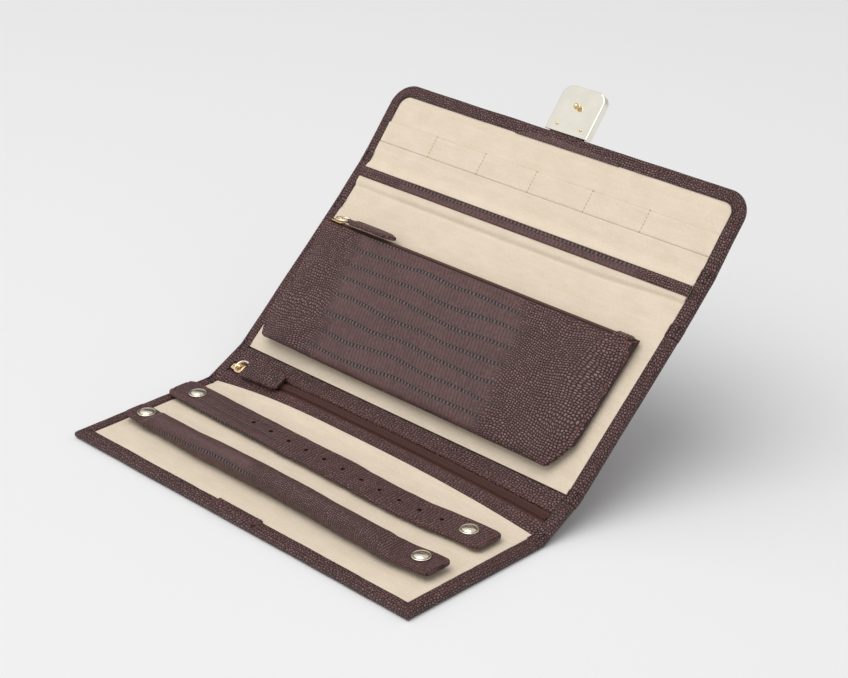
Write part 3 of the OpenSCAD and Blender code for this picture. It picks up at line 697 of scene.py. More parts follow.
# beads set along lines at even spacing, turned to the line and to the surface's own direction
def rowOfBeadsTree():
    tree = bpy.data.node_groups.new("rowOfBeads", "GeometryNodeTree")
    face = tree.interface
    face.new_socket("Geometry", in_out="INPUT", socket_type="NodeSocketGeometry")
    for label, value in (("Spacing", 0.0026), ("Swing", 0.05), ("Sink", 0.0)):
        face.new_socket(label, in_out="INPUT", socket_type="NodeSocketFloat").default_value = value
    size = face.new_socket("Size", in_out="INPUT", socket_type="NodeSocketVector")
    size.default_value = (0.002, 0.0005, 0.0005)
    face.new_socket("Seed", in_out="INPUT", socket_type="NodeSocketInt").default_value = 7
    face.new_socket("Material", in_out="INPUT", socket_type="NodeSocketMaterial")
    face.new_socket("Geometry", in_out="OUTPUT", socket_type="NodeSocketGeometry")
    add, link = tree.nodes.new, tree.links.new
    given, out = add("NodeGroupInput"), add("NodeGroupOutput")
    curve, even = add("GeometryNodeMeshToCurve"), add("GeometryNodeResampleCurve")
    even.mode = "LENGTH"
    link(given.outputs["Geometry"], curve.inputs["Mesh"])
    link(curve.outputs["Curve"], even.inputs["Curve"])
    link(given.outputs["Spacing"], even.inputs["Length"])
    bead = add("GeometryNodeMeshUVSphere")
    bead.inputs["Segments"].default_value, bead.inputs["Rings"].default_value = 8, 5
    bead.inputs["Radius"].default_value = 0.5
    shaped = add("GeometryNodeTransform")
    link(bead.outputs["Mesh"], shaped.inputs["Geometry"])
    link(given.outputs["Size"], shaped.inputs["Scale"])
    tangent, up = add("GeometryNodeInputTangent"), add("GeometryNodeInputNamedAttribute")
    up.data_type = "FLOAT_VECTOR"
    up.inputs["Name"].default_value = "up"
    ahead, stand = add("FunctionNodeAlignRotationToVector"), add("FunctionNodeAlignRotationToVector")
    ahead.axis, stand.axis, stand.pivot_axis = "X", "Z", "X"
    link(tangent.outputs[0], ahead.inputs["Vector"])
    link(ahead.outputs[0], stand.inputs["Rotation"])
    link(up.outputs["Attribute"], stand.inputs["Vector"])
    chance, negative = add("FunctionNodeRandomValue"), add("ShaderNodeMath")
    chance.data_type, negative.operation = "FLOAT", "MULTIPLY"
    negative.inputs[1].default_value = -1.0
    link(given.outputs["Swing"], negative.inputs[0])
    floats = [s for s in chance.inputs if s.enabled]
    link(negative.outputs[0], floats[0])
    link(given.outputs["Swing"], floats[1])
    link(given.outputs["Seed"], chance.inputs["Seed"])
    twist, turned = add("FunctionNodeAxisAngleToRotation"), add("FunctionNodeRotateRotation")
    twist.inputs["Axis"].default_value = (0, 0, 1)
    turned.rotation_space = "LOCAL"
    link(next(s for s in chance.outputs if s.enabled), twist.inputs["Angle"])
    link(stand.outputs[0], turned.inputs["Rotation"])
    link(twist.outputs[0], turned.inputs["Rotate By"])
    placed, real = add("GeometryNodeInstanceOnPoints"), add("GeometryNodeRealizeInstances")
    paint = add("GeometryNodeSetMaterial")
    link(even.outputs["Curve"], placed.inputs["Points"])
    link(shaped.outputs["Geometry"], placed.inputs["Instance"])
    link(turned.outputs[0], placed.inputs["Rotation"])
    lower, drop = add("GeometryNodeTranslateInstances"), add("ShaderNodeCombineXYZ")
    link(placed.outputs["Instances"], lower.inputs["Instances"])
    link(given.outputs["Sink"], drop.inputs["Z"])
    link(drop.outputs[0], lower.inputs["Translation"])
    link(lower.outputs["Instances"], real.inputs["Geometry"])
    link(real.outputs["Geometry"], paint.inputs["Geometry"])
    link(given.outputs["Material"], paint.inputs["Material"])
    link(paint.outputs["Geometry"], out.inputs["Geometry"])
    return tree


rowOfBeads = rowOfBeadsTree()


def socketIds(tree):
    return {item.name: item.identifier for item in tree.interface.items_tree if item.in_out == "INPUT"}


# lines are (points in metres, surface directions); the result is one plain mesh
def beads(name, body, lines, look, material):
    points, ups, edges = [], [], []
    for line, up in lines:
        start = len(points)
        line = np.asarray(line, float)
        points += line.tolist()
        ups += np.broadcast_to(np.asarray(up, float), line.shape).tolist()
        edges += [(start + i, start + i + 1) for i in range(len(line) - 1)]
    mesh = bpy.data.meshes.new(name)
    mesh.from_pydata(points, edges, [])
    upward = mesh.attributes.new("up", "FLOAT_VECTOR", "POINT")
    upward.data.foreach_set("vector", np.array(ups, np.float32).ravel())
    source = bpy.data.objects.new(name + "Line", mesh)
    bpy.context.scene.collection.objects.link(source)
    modifier = source.modifiers.new("beads", "NODES")
    modifier.node_group = rowOfBeads
    ids = socketIds(rowOfBeads)
    modifier[ids["Spacing"]] = look["spacing"] / 1000
    modifier[ids["Size"]] = [s / 1000 for s in look["size"]]
    modifier[ids["Swing"]] = look["swing"]
    modifier[ids["Sink"]] = look["sink"] / 1000
    modifier[ids["Seed"]] = look["seed"]
    modifier[ids["Material"]] = material
    made = settleAs(name, source)
    for polygon in made.data.polygons:
        polygon.use_smooth = True
    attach(made, body)
    return made


stitchLook = {"spacing": 2.7, "size": (2.1, 0.5, 0.42), "swing": 0.07, "sink": 0.0, "seed": 11}
toothLook = {"spacing": 1.05, "size": (0.78, 2.3, 1.15), "swing": 0.02, "sink": 0.0, "seed": 3}


# a straight run of stitches along x on a panel
def runAlongX(panel, x0, x1, v, w):
    x = np.linspace(x0, x1, 40)
    return at(panel, x, v, w), along(panel, 0, 0, 1)


def runAlongV(panel, x, v0, v1, w):
    v = np.linspace(v0, v1, 30)
    return at(panel, x, v, w), along(panel, 0, 0, 1)


rimLook = {
    # inset from the edge and height, both in mm, from the suede side over the edge to the underside
    "profile": [
        (7.0, -1.05), (7.0, -0.15), (6.85, 0.02), (6.3, 0.14), (5.4, 0.2), (4.4, 0.17), (3.6, 0.06),
        (3.15, -0.16), (2.8, -0.28), (2.45, -0.15), (2.0, 0.04), (1.4, 0.02), (0.9, -0.16), (0.45, -0.55),
        (0.15, -1.1), (0.0, -1.8), (0.05, -2.5), (0.25, -3.1), (0.6, -3.6), (1.1, -3.9), (1.8, -4.0),
        (3.6, -4.0), (5.3, -4.0), (7.0, -4.0), (7.0, -2.8),
    ],
    "stitchInset": 2.8,
    "stitchHeight": -0.14,
    "wobble": 0.14,
}


# stations along the rim: x, v, outward direction, length so far
def withLength(stations):
    out, total, last = [], 0.0, None
    for x, v, nx, nv in stations:
        if last is not None:
            total += math.hypot(x - last[0], v - last[1])
        out.append((x, v, nx, nv, total))
        last = (x, v)
    return out


def baseStations():
    depth, b = case["baseDepth"] - case["foldGap"], case["border"]
    left = [(-half, v, -1.0, 0.0) for v in steps(depth, b, 1.5)]
    corner = [(-half, b * f, -1.0, f - 1.0) for f in (0.75, 0.5, 0.25)]
    corner += [(-half, 0.0, -1.0, -1.0)]
    corner += [(-half + b * f, 0.0, f - 1.0, -1.0) for f in (0.25, 0.5, 0.75)]
    front = [(x, 0.0, 0.0, -1.0) for x in steps(-half + b, half - b, 1.5)]
    mirrored = [(-x, v, -nx, nv) for x, v, nx, nv in (left + corner)[::-1]]
    return withLength(left + corner + front + mirrored)


def flapStations():
    r, top = case["flapCorner"], case["flap"]
    left = [(-half, v, -1.0, 0.0) for v in steps(case["foldGap"], top - r, 1.5)]
    corner = []
    for angle in np.radians(np.arange(2.25, 90, 2.25)):
        nx, nv = -math.cos(angle), math.sin(angle)
        corner.append((-half + r + r * nx, top - r + r * nv, nx, nv))
    edge = [(x, top, 0.0, 1.0) for x in steps(-half + r, half - r, 1.5)]
    mirrored = [(-x, v, -nx, nv) for x, v, nx, nv in (left + corner)[::-1]]
    return withLength(left + corner + edge + mirrored)


def rim(panel, stations, seed=0.0, pleats=False):
    st, pr = np.array(stations), np.array(rimLook["profile"])
    s = st[:, 4][:, None]
    d = np.broadcast_to(pr[None, :, 0], (len(st), len(pr))).copy()
    w = np.broadcast_to(pr[None, :, 1], d.shape).copy()
    wave = unevenness(st[:, 4], 0 * st[:, 4], 22.0, seed)[:, None]
    top = smooth((w + 0.5) / 0.5)
    w += top * rimLook["wobble"] * unevenness(np.broadcast_to(s, d.shape), d * 1.5, 5.0, seed + 3)
    d += np.where(d < 2.2, 0.22, 0.0) * wave + np.where((d > 5.0) & (w > -0.5), 0.3, 0.0) * wave
    if pleats:
        turning = (np.abs(st[:, 2]) > 0.01) & (np.abs(st[:, 3]) > 0.01)
        angle = np.arctan2(st[:, 3], np.abs(st[:, 2]))
        ripple = np.where(turning, np.sin(angle * 44), 0.0)[:, None]
        w += top * ripple * 0.16 * smooth((d - 0.8) / 4)
    x, v, nx, nv = (column[:, None] for column in st[:, :4].T)
    points = at(panel, x - nx * d, v - nv * d, w)
    run = runRound(*pr.T)
    skin = np.stack(np.broadcast_arrays(s, run[None, :]), -1)
    return net(points, skin, wrap=True, caps=True)


def rimStitchLine(panel, stations):
    x, v, nx, nv, _ = np.array(stations).T
    inset = rimLook["stitchInset"]
    return at(panel, x - nx * inset, v - nv * inset, rimLook["stitchHeight"]), along(panel, 0, 0, 1)


def plates(panel, x0, x1, v0, v1, hole=None):
    if hole is None:
        spans = [(x0, x1, v0, v1)]
    else:
        hx, h0, h1 = hole
        spans = [(x0, -hx, v0, v1), (hx, x1, v0, v1), (-hx, hx, v0, h0), (-hx, hx, h1, v1)]
    nets = []
    for a, b, c, d in spans:
        nets += slab(panel, steps(a, b, 12), steps(c, d, 8), lambda x, v: -2.8, lambda x, v: -4.0)
    return nets


def sideStations(panel, side):
    vs = steps(case["foldGap"], panelLength[panel] - case["foldGap"], 1.5)
    return withLength([(side * half, v, float(side), 0.0) for v in vs])


# where the flap's end comes to lie on the base when the case is shut
flapEnd = case["baseDepth"] - case["back"] + case["flap"]
keeperHole = (12.0, flapEnd, flapEnd + 22.3)
baseRim, flapRim = baseStations(), flapStations()
basePlates = plates("base", -inner, inner, case["border"], case["baseDepth"] - case["foldGap"], keeperHole)
flapPlates = plates("flap", -inner, inner, case["foldGap"], case["flap"] - case["border"])
leatherNets = {
    "base": [rim("base", baseRim, 1.0)] + basePlates,
    "flap": [rim("flap", flapRim, 5.0, pleats=True)] + flapPlates,
}
for index, panel in enumerate(("lower_spine", "back_panel", "upper_spine")):
    nets = [rim(panel, sideStations(panel, side), 7.0 + index + 0.5 * side) for side in (-1, 1)]
    nets += plates(panel, -inner, inner, case["foldGap"], panelLength[panel] - case["foldGap"])
    leatherNets[panel] = nets
leatherNode = {
    "base": "base_leather", "lower_spine": "lower_spine_leather", "back_panel": "back_leather",
    "upper_spine": "upper_spine_leather", "flap": "flap_leather",
}
for panel, nets in leatherNets.items():
    words = panel.split("_")
    name = words[0] + "".join(w.capitalize() for w in words[1:]) + "Leather"
    fit(makePiece(name, nets, [borderLeather]), "lizard_leather", panel, leatherNode[panel])

for panel, stations in (("base", baseRim), ("flap", flapRim)):
    beads(panel + "RimStitches", panel, [rimStitchLine(panel, stations[2:-2])], stitchLook, leatherThread)
for panel in ("back_panel", "upper_spine", "lower_spine"):
    lines = [rimStitchLine(panel, sideStations(panel, side)[1:-1]) for side in (-1, 1)]
    name = panel.replace("_p", "P").replace("_s", "S") + "RimStitches"
    beads(name, panel, lines, stitchLook, leatherThread)
print("stage: panels done")


foldLook = {"reach": 3.2, "proud": 0.09, "shell": 0.5, "arcSteps": 10}


# the outer path of the whole case across x: suede edge, over the rim, underside, other rim
def crossPath():
    pr = [(d, w) for d, w in rimLook["profile"] if w > -1.0 or d < 6.9][:-1]
    left = [(-half + d, w) for d, w in pr]
    middle = [(x, -4.0) for x in np.linspace(-inner, inner, 40)[1:-1]]
    right = [(half - d, w) for d, w in pr[::-1]]
    return np.array(left + middle + right)


def foldSkin(name, panelA, panelB, seed):
    path = crossPath()
    tangent = np.gradient(path, axis=0)
    normal = np.stack([-tangent[:, 1], tangent[:, 0]], -1)
    normal /= np.linalg.norm(normal, axis=1)[:, None]
    normal *= -np.sign(np.sum(normal * (np.array([0.0, -2.0]) - path), axis=1))[:, None]
    length = panelLength[panelA]
    angleA, angleB = panels[panelA][2], panels[panelB][2]
    y0, z0, _ = panels[panelB]
    rows = [("a", v) for v in np.linspace(-foldLook["reach"], -0.3, 4)]
    rows += [("turn", t) for t in np.linspace(0, 1, foldLook["arcSteps"])]
    rows += [("b", v) for v in np.linspace(0.3, foldLook["reach"], 4)]
    sheets = []
    for offset in (foldLook["proud"], -foldLook["shell"]):
        x, w = (path + normal * offset).T
        lines = []
        for kind, value in rows:
            if kind == "a":
                lines.append(at(panelA, x, length + value, w))
            elif kind == "b":
                lines.append(at(panelB, x, value, w))
            else:
                angle = angleA + (angleB - angleA) * value
                dip = -0.1 * math.sin(math.pi * value) if angleB - angleA > 0.1 else 0.0
                r = w + np.where(w > -0.5, dip, 0)
                lines.append(np.stack([x, y0 - r * math.sin(angle), z0 + r * math.cos(angle)], -1) / 1000)
        sheets.append(np.array(lines))
    outer, inside = sheets
    run = np.concatenate([[0], np.cumsum(np.hypot(*np.diff(path, axis=0).T))])
    turn = np.cumsum([0.0] + [0.8] * (len(rows) - 1))
    skin = np.stack(np.broadcast_arrays(run[None, :], turn[:, None]), -1)
    piece = makePiece(name, closedSheets(outer, inside, skin, [0.5, 0.5]), [borderLeather])
    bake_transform(piece)


foldSkin("lowerFoldLeather", "base", "lower_spine", 1)
foldSkin("backFoldLeather", "lower_spine", "back_panel", 2)
foldSkin("upperFoldLeather", "back_panel", "upper_spine", 3)
foldSkin("flapFoldLeather", "upper_spine", "flap", 4)
print("stage: folds done")


# the upper spine's suede swells up to the strip across it
def bindingRise(x, v):
    start = 12.0 + 2.0 * smooth((x - 60) / 45)
    swell = [
        (-0.9, 0), (0.1, -0.18), (0.8, 0.05), (1.8, 0.95), (2.8, 1.4), (4.4, 1.62), (6.6, 1.7), (9.0, 1.7),
    ]
    rise = np.interp(v - start, *zip(*swell))
    fade = 1 - 0.85 * smooth((v - 23.5) / 6.0)
    return rise * fade * (0.65 + 0.35 * smooth((x + 95) / 30)) + 0 * x


suedeFit = {"cell": 2.4, "fineCell": 0.45, "wave": 0.07, "edgeDip": 0.25, "gap": 0.06}


def suedePanel(name, panel, node, v0, v1, dipped, seed):
    top0, bottom0 = case["suedeTop"], case["suedeBottom"]
    x0, x1 = -inner + suedeFit["gap"], inner - suedeFit["gap"]

    def top(x, v):
        away = np.minimum(x - x0, x1 - x)
        if dipped:
            away = np.minimum(away, v - v0)
        swell = bindingRise(x, v) if panel == "upper_spine" else 0.0
        wave = suedeFit["wave"] * unevenness(x, v, 9.0, seed)
        return top0 + swell + wave - suedeFit["edgeDip"] * (1 - smooth(away / 1.6))

    ends = (0, 0.5, 1.0, 1.6)
    xs = closeSteps(x0, x1, ends, 2.4, suedeFit["cell"])
    vs = closeSteps(v0, v1, ends, 2.4, suedeFit["fineCell" if panel == "upper_spine" else "cell"])
    fit(makePiece(name, slab(panel, xs, vs, top, lambda x, v: bottom0), [suede]), "suede", panel, node)


suedePanel("baseSuede", "base", "base_lining", case["border"] + 0.06, case["baseDepth"] - 0.3, True, 2.0)
suedePanel("backSuede", "back_panel", "back_lining", 0.3, case["back"] - 0.3, False, 3.0)
suedePanel("upperSpineSuede", "upper_spine", "upper_spine_lining", 0.3, case["upperSpine"] - 0.3, False, 4.0)


# the flap's suede follows the rim's round inner corners
def flapSuede():
    top0, bottom0, r = case["suedeTop"], case["suedeBottom"], case["flapCorner"] - case["border"]
    vTop = case["flap"] - case["border"] - 0.06
    turn = vTop - r + r * np.sin(np.radians(np.arange(0, 91, 7.5)))
    vs = np.unique(np.concatenate([[0.3], steps(1.5, vTop - r, 2.2), turn]))
    ends = np.array([0, 0.003, 0.007])
    f = np.unique(np.concatenate([ends, np.linspace(0.012, 0.988, 90), 1 - ends]))
    x1 = inner - 0.06
    over = np.clip(vs - (vTop - r), 0, r)
    reach = x1 - r + np.sqrt(np.maximum(r * r - over * over, 0.0))
    x = -reach[None, :] + 2 * reach[None, :] * f[:, None]
    v = np.broadcast_to(vs[None, :], x.shape)
    away = np.minimum(reach[None, :] - np.abs(x), vTop - v)
    w = top0 + suedeFit["wave"] * unevenness(x, v, 9.0, 6.0) - suedeFit["edgeDip"] * (1 - smooth(away / 1.6))
    nets = closedSheets(at("flap", x, v, w), at("flap", x, v, bottom0), np.stack([x, v], -1), [0.0, -0.6])
    fit(makePiece("flapSuede", nets, [suede]), "suede", "flap", "flap_lining")


flapSuede()


# suede carried over a fold, so that the nap has no break there
def suedeBridge(name, panelA, panelB, reach, proud, seed):
    length = panelLength[panelA]
    x = np.linspace(-inner + 0.1, inner - 0.1, 100)
    further = reach if panelA != "base" else 0.8 + spineBow(x, 0.3)
    rows = [(panelA, length - reach + reach * t) for t in np.linspace(0, 0.9, 5)]
    rows += [(panelB, further * t) for t in np.linspace(0.1, 1, 5)]
    top, bottom, skins = [], [], []
    for k, (panel, v) in enumerate(rows):
        lift = proud * math.sin(math.pi * k / (len(rows) - 1)) + 0.01
        ripple = suedeFit["wave"] * unevenness(x, 0 * x + (k - 4.5) * 0.6, 9.0, seed)
        top.append(flatAt(panel, x, v, case["suedeTop"] + lift + ripple * 0.3))
        bottom.append(flatAt(panel, x, v, case["suedeTop"] - 0.5))
        skins.append(np.stack([x, 0 * x + v + (length if panel == panelB else 0.0)], -1))
    top, bottom, skin = np.array(top), np.array(bottom), np.array(skins)
    piece = makePiece(name, closedSheets(top, bottom, skin, [0.0, -0.5]), [suede])
    y0, z0, _ = panels[panelB]
    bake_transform(piece)


suedeBridge("flapFoldSuede", "upper_spine", "flap", 2.2, 0.12, 8.0)
suedeBridge("upperFoldSuede", "back_panel", "upper_spine", 1.6, 0.08, 9.0)
suedeBridge("lowerFoldSuede", "base", "lower_spine", 2.0, 0.1, 10.0)
print("stage: suede done")


capLook = {"radius": 4.75, "height": 1.7, "rim": 0.42, "leftShift": 2.5}


# a turned shape: profile is (radius, height) from the outside to the centre
def turned(center, up, profile, around=64):
    center, up = Vector(center), Vector(up).normalized()
    side = up.cross(Vector((1, 0, 0))).normalized()
    other = up.cross(side)
    rings = []
    for r, z in profile:
        ring = []
        for k in range(around):
            a = 2 * math.pi * k / around
            ring.append(center + (side * math.cos(a) + other * math.sin(a)) * (r / 1000) + up * (z / 1000))
        rings.append(ring)
    points = np.array([[list(p) for p in ring] for ring in rings])
    arc = np.array([p[0] for p in profile])
    skin = np.stack(np.broadcast_arrays(np.arange(around + 1)[None, :] * 0.4, arc[:, None]), -1)
    return net(points, skin, wrap=True)


def capProfile(look):
    r, h, rimT = look["radius"], look["height"], look["rim"]
    points = [(0.001, 0.0), (r - 0.3, 0.0)]
    for a in np.radians(np.arange(-80, 121, 20)):
        points.append((r - rimT + rimT * math.cos(a), rimT + rimT * math.sin(a)))
    inside, rise = r - 1.1, h - 0.62
    for t in np.linspace(1, 0, 12):
        points.append((max(0.001, inside * t), 0.62 + rise * (1 - t ** 2.2)))
    return points


def pressCap(name, body, node, x, v, w):
    cap = turned(at("base", x, v, w), along("base", 0, 0, 1), capProfile(capLook))
    fit(makePiece(name, [cap], [paleGold], sharp=60), "gold", body, node)


for name, body, node in (
    ("rollLeftCap", "base", "roll_anchor_cap"), ("rollRightCap", "ring_roll", "roll_cap"),
    ("strapLeftCap", "base", "strap_anchor_cap"), ("strapRightCap", "earring_strap", "strap_cap"),
):
    a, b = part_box(node)
    x, v = (a.x + b.x) * 500, (a.y + b.y) * 500 - panels["base"][0]
    x += capLook["leftShift"] if body == "base" else 0.0
    pressCap(name, body, node, x, v, a.z * 1000 - case["thickness"])
print("stage: caps done")


# soft strips do not lie quite straight: a smooth line through the given (x, offset) points
def softBow(points):
    xs, window = np.arange(-150, 151), np.hanning(27)
    ys = np.convolve(np.interp(xs, *zip(*points)), window / window.sum(), "same")
    return lambda x: np.interp(x, xs, ys)


def bowed(obj, offset):
    for vertex in obj.data.vertices:
        vertex.co.y += float(offset(vertex.co.x * 1000)) / 1000
    return obj


strapBow = softBow([
    (-130, 0), (-112, 0), (-60, -0.6), (-18, -1.6), (10, -2.2), (38, -3.6), (62, -3.8), (76, -2.6),
    (92, -0.8), (130, -0.2),
])
rollBow = softBow([
    (-130, 0), (-106, 0), (-88, -2), (-54, -3.4), (-22, -3.3), (12, -3.5), (50, -5), (70, -5.4), (84, -3.2),
    (97, -0.6), (130, -0.2),
])

rollLook = {
    "start": -112.0, "end": 108.0, "v": 32.0, "corner": 3.2, "around": 48,
    "flatWidth": [(-98, 14.0), (90, 17.0)], "flatLow": 2.6, "flatThick": 2.6,
    "diameter": [(-95, 10.6), (-35, 12.3)], "bodyStart": -86.0, "bodyEnd": 64.0,
    "leftTaper": 13.0, "rightTaper": 26.0,
}


# a round-cornered section swept along x; widths, heights and squareness change along it
def sweptStrap(sections, count):
    angles = around(count) - np.pi / 2
    rings, skins = [], []
    for x, v, w, a, b, power, lift in sections:
        yy, zz = softSection(angles, a, b, 2 / power, 2 / power)
        rings.append(at("base", x, v + yy, w + zz + lift(yy, zz)))
        skins.append(np.stack([np.full(count + 1, x), runRound(yy, zz)], -1))
    return tube(rings, skins)


def rollWidth(x):
    return float(np.interp(x, *zip(*rollLook["flatWidth"]))) / 2


def rollSections():
    look, out = rollLook, []
    start, end = look["start"], look["end"]
    corner = cornerSteps(look["corner"])
    xs = np.unique(np.concatenate([
        start + corner, steps(start + 3.4, -80, 0.8), steps(-80, 70, 1.6),
        steps(70, end - 3.4, 0.8), end - corner,
    ]))
    for x in xs:
        left = smooth((x - (look["bodyStart"] - look["leftTaper"])) / look["leftTaper"])
        right = smooth((look["bodyEnd"] + look["rightTaper"] - x) / look["rightTaper"])
        t = float(min(left, right))
        edge = min(x - start, end - x)
        diameter = float(np.interp(x, *zip(*look["diameter"])))
        a = rollWidth(x) * (1 - t) + diameter / 2 * t - cornerIn(edge, look["corner"])
        b = look["flatThick"] / 2 * (1 - t) + diameter / 2 * t
        if edge < 0.6:
            b *= 0.55 + 0.45 * edge / 0.6
        w = (look["flatLow"] + look["flatThick"] / 2) * (1 - t) + (diameter / 2 - 0.3) * t
        power = 5.5 * (1 - t) + 2.0 * t
        sway = 0.5 * math.sin((x + 40) / 62.0) * t
        pinch = 0.22 * t * noise.noise(Vector((x / 7.0, 2.0, 0)))
        crease = 0.35 * math.exp(-((t - 0.45) / 0.2) ** 2)

        def lift(yy, zz, x=x, t=t, crease=crease):
            folds = crease * np.sin(yy * 1.5 + x * 0.25) * (zz > 0)
            return folds + 0.12 * t * np.sin(yy * 0.9 + x * 0.18)

        out.append((x, look["v"] + sway, w, a + pinch, b - 0.06, power, lift))
    return out


# fixes a piece's placement into its mesh
def blendAtBend(piece):
    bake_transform(piece)


roll = bowed(makePiece("ringRoll", [sweptStrap(rollSections(), rollLook["around"])], [rollLeather]), rollBow)
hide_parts("roll_anchor", "roll_cover", "roll_core")
blendAtBend(roll)

strapLook = {
    "start": -117.0, "end": 107.0, "v": 66.0, "width": 19.0, "low": 1.4, "thick": 2.0, "corner": 4.0,
    "around": 56,
    "holes": 11, "pitch": 13.5, "hole": 2.3, "firstHole": 77.5, "rawColumns": range(44, 49),
}


def strapHalfWidth(x):
    look = strapLook
    broad, fine = noise.noise(Vector((x / 17.0, 5.0, 0))), noise.noise(Vector((x / 6.0, 8.0, 0)))
    edge = min(x - look["start"], look["end"] - x)
    return look["width"] / 2 - 0.35 + 0.45 * broad + 0.2 * fine - cornerIn(edge, look["corner"])


def strapLift(x):
    return 0.35 * noise.noise(Vector((x / 24.0, 1.5, 0))) * float(smooth((100 - abs(x)) / 20))


def strapSections():
    look, out = strapLook, []
    start, end = look["start"], look["end"]
    for x in closeSteps(start, end, cornerSteps(look["corner"]), 4.2, 1.2):
        edge = min(x - start, end - x)
        b = look["thick"] / 2 * (0.6 + 0.4 * min(1.0, edge / 0.5))

        def lift(yy, zz, x=x):
            crown = 0.25 * (1 - (yy / 9.5) ** 2)
            creases = 0.16 * np.sin(yy * 1.9 + 0.9 * math.sin(x / 11.0)) * (np.abs(yy) < 7)
            return (crown + creases * float(smooth((-15 - x) / 30))) * (zz > 0) + strapLift(x)

        v, w = look["v"] + 0.5 * math.sin(x / 45.0), look["low"] + look["thick"] / 2
        out.append((x, v, w, strapHalfWidth(x), b, 6.0, lift))
    return out


# punches along a line, made once and cut out of the strap
def punchRowTree():
    tree = bpy.data.node_groups.new("punchRow", "GeometryNodeTree")
    face = tree.interface
    face.new_socket("Geometry", in_out="INPUT", socket_type="NodeSocketGeometry")
    face.new_socket("Count", in_out="INPUT", socket_type="NodeSocketInt").default_value = 11
    for label, value in (("Pitch", 0.0135), ("Diameter", 0.0023), ("Depth", 0.01)):
        face.new_socket(label, in_out="INPUT", socket_type="NodeSocketFloat").default_value = value
    face.new_socket("First", in_out="INPUT", socket_type="NodeSocketVector")
    face.new_socket("Material", in_out="INPUT", socket_type="NodeSocketMaterial")
    face.new_socket("Geometry", in_out="OUTPUT", socket_type="NodeSocketGeometry")
    add, link = tree.nodes.new, tree.links.new
    given, out = add("NodeGroupInput"), add("NodeGroupOutput")
    line, step = add("GeometryNodeMeshLine"), add("ShaderNodeCombineXYZ")
    back, radius = add("ShaderNodeMath"), add("ShaderNodeMath")
    back.operation, radius.operation = "MULTIPLY", "MULTIPLY"
    back.inputs[1].default_value, radius.inputs[1].default_value = -1.0, 0.5
    link(given.outputs["Pitch"], back.inputs[0])
    link(back.outputs[0], step.inputs["X"])
    link(given.outputs["Diameter"], radius.inputs[0])
    link(given.outputs["Count"], line.inputs["Count"])
    link(given.outputs["First"], line.inputs["Start Location"])
    link(step.outputs[0], line.inputs["Offset"])
    punch = add("GeometryNodeMeshCylinder")
    punch.inputs["Vertices"].default_value = 20
    link(radius.outputs[0], punch.inputs["Radius"])
    link(given.outputs["Depth"], punch.inputs["Depth"])
    placed, real = add("GeometryNodeInstanceOnPoints"), add("GeometryNodeRealizeInstances")
    paint = add("GeometryNodeSetMaterial")
    link(line.outputs["Mesh"], placed.inputs["Points"])
    link(punch.outputs["Mesh"], placed.inputs["Instance"])
    link(placed.outputs["Instances"], real.inputs["Geometry"])
    link(real.outputs["Geometry"], paint.inputs["Geometry"])
    link(given.outputs["Material"], paint.inputs["Material"])
    link(paint.outputs["Geometry"], out.inputs["Geometry"])
    return tree


strap = makePiece("earringStrap", [sweptStrap(strapSections(), strapLook["around"])], [strapLeather, rawEdge])
for polygon in strap.data.polygons:
    if len(polygon.vertices) == 4 and polygon.index % strapLook["around"] in strapLook["rawColumns"]:
        polygon.material_index = 1
punchSource = bpy.data.objects.new("punches", bpy.data.meshes.new("punches"))
bpy.context.scene.collection.objects.link(punchSource)
modifier = punchSource.modifiers.new("punches", "NODES")
modifier.node_group = punchRowTree()
ids = socketIds(modifier.node_group)
modifier[ids["Count"]] = strapLook["holes"]
modifier[ids["Pitch"]] = strapLook["pitch"] / 1000
modifier[ids["Diameter"]] = strapLook["hole"] / 1000
modifier[ids["First"]] = at("base", strapLook["firstHole"], strapLook["v"], strapLook["low"] + 1).tolist()
# painted shade: the near-black hole walls
modifier[ids["Material"]] = holeWallShade
punches = settleAs("punchTool", punchSource)
cut = strap.modifiers.new("holes", "BOOLEAN")
cut.operation, cut.object, cut.solver, cut.material_mode = "DIFFERENCE", punches, "EXACT", "TRANSFER"
strap = settle(strap)
bpy.data.objects.remove(punches)
bowed(strap, strapBow)
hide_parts("strap_anchor", "earring_strap")
blendAtBend(strap)


# stitches round the straps' ends: a U open towards the middle
def endStitches(x0, x1, v, widthAt, inset, height, side):
    # the line runs along one side, round the end, and back along the other
    end = x1 if side > 0 else x0
    r = 2.4
    xs = steps(x0, x1 - inset - r, 2) if side > 0 else steps(x1, x0 + inset + r, 2)
    up = [(x, widthAt(x) - inset) for x in xs]
    turn, wide = [], widthAt(end - side * 6) - inset - r
    for a in np.radians(np.arange(0, 91, 15)):
        turn.append((end - side * (inset + r) + side * r * math.sin(a), wide + r * math.cos(a)))
    line = up + turn
    points = [(x, v + y) for x, y in line] + [(x, v - y) for x, y in line[::-1]]
    heights = [height(x, y - v) for x, y in points]
    return at("base", [x for x, _ in points], [y for _, y in points], heights), along("base", 0, 0, 1)


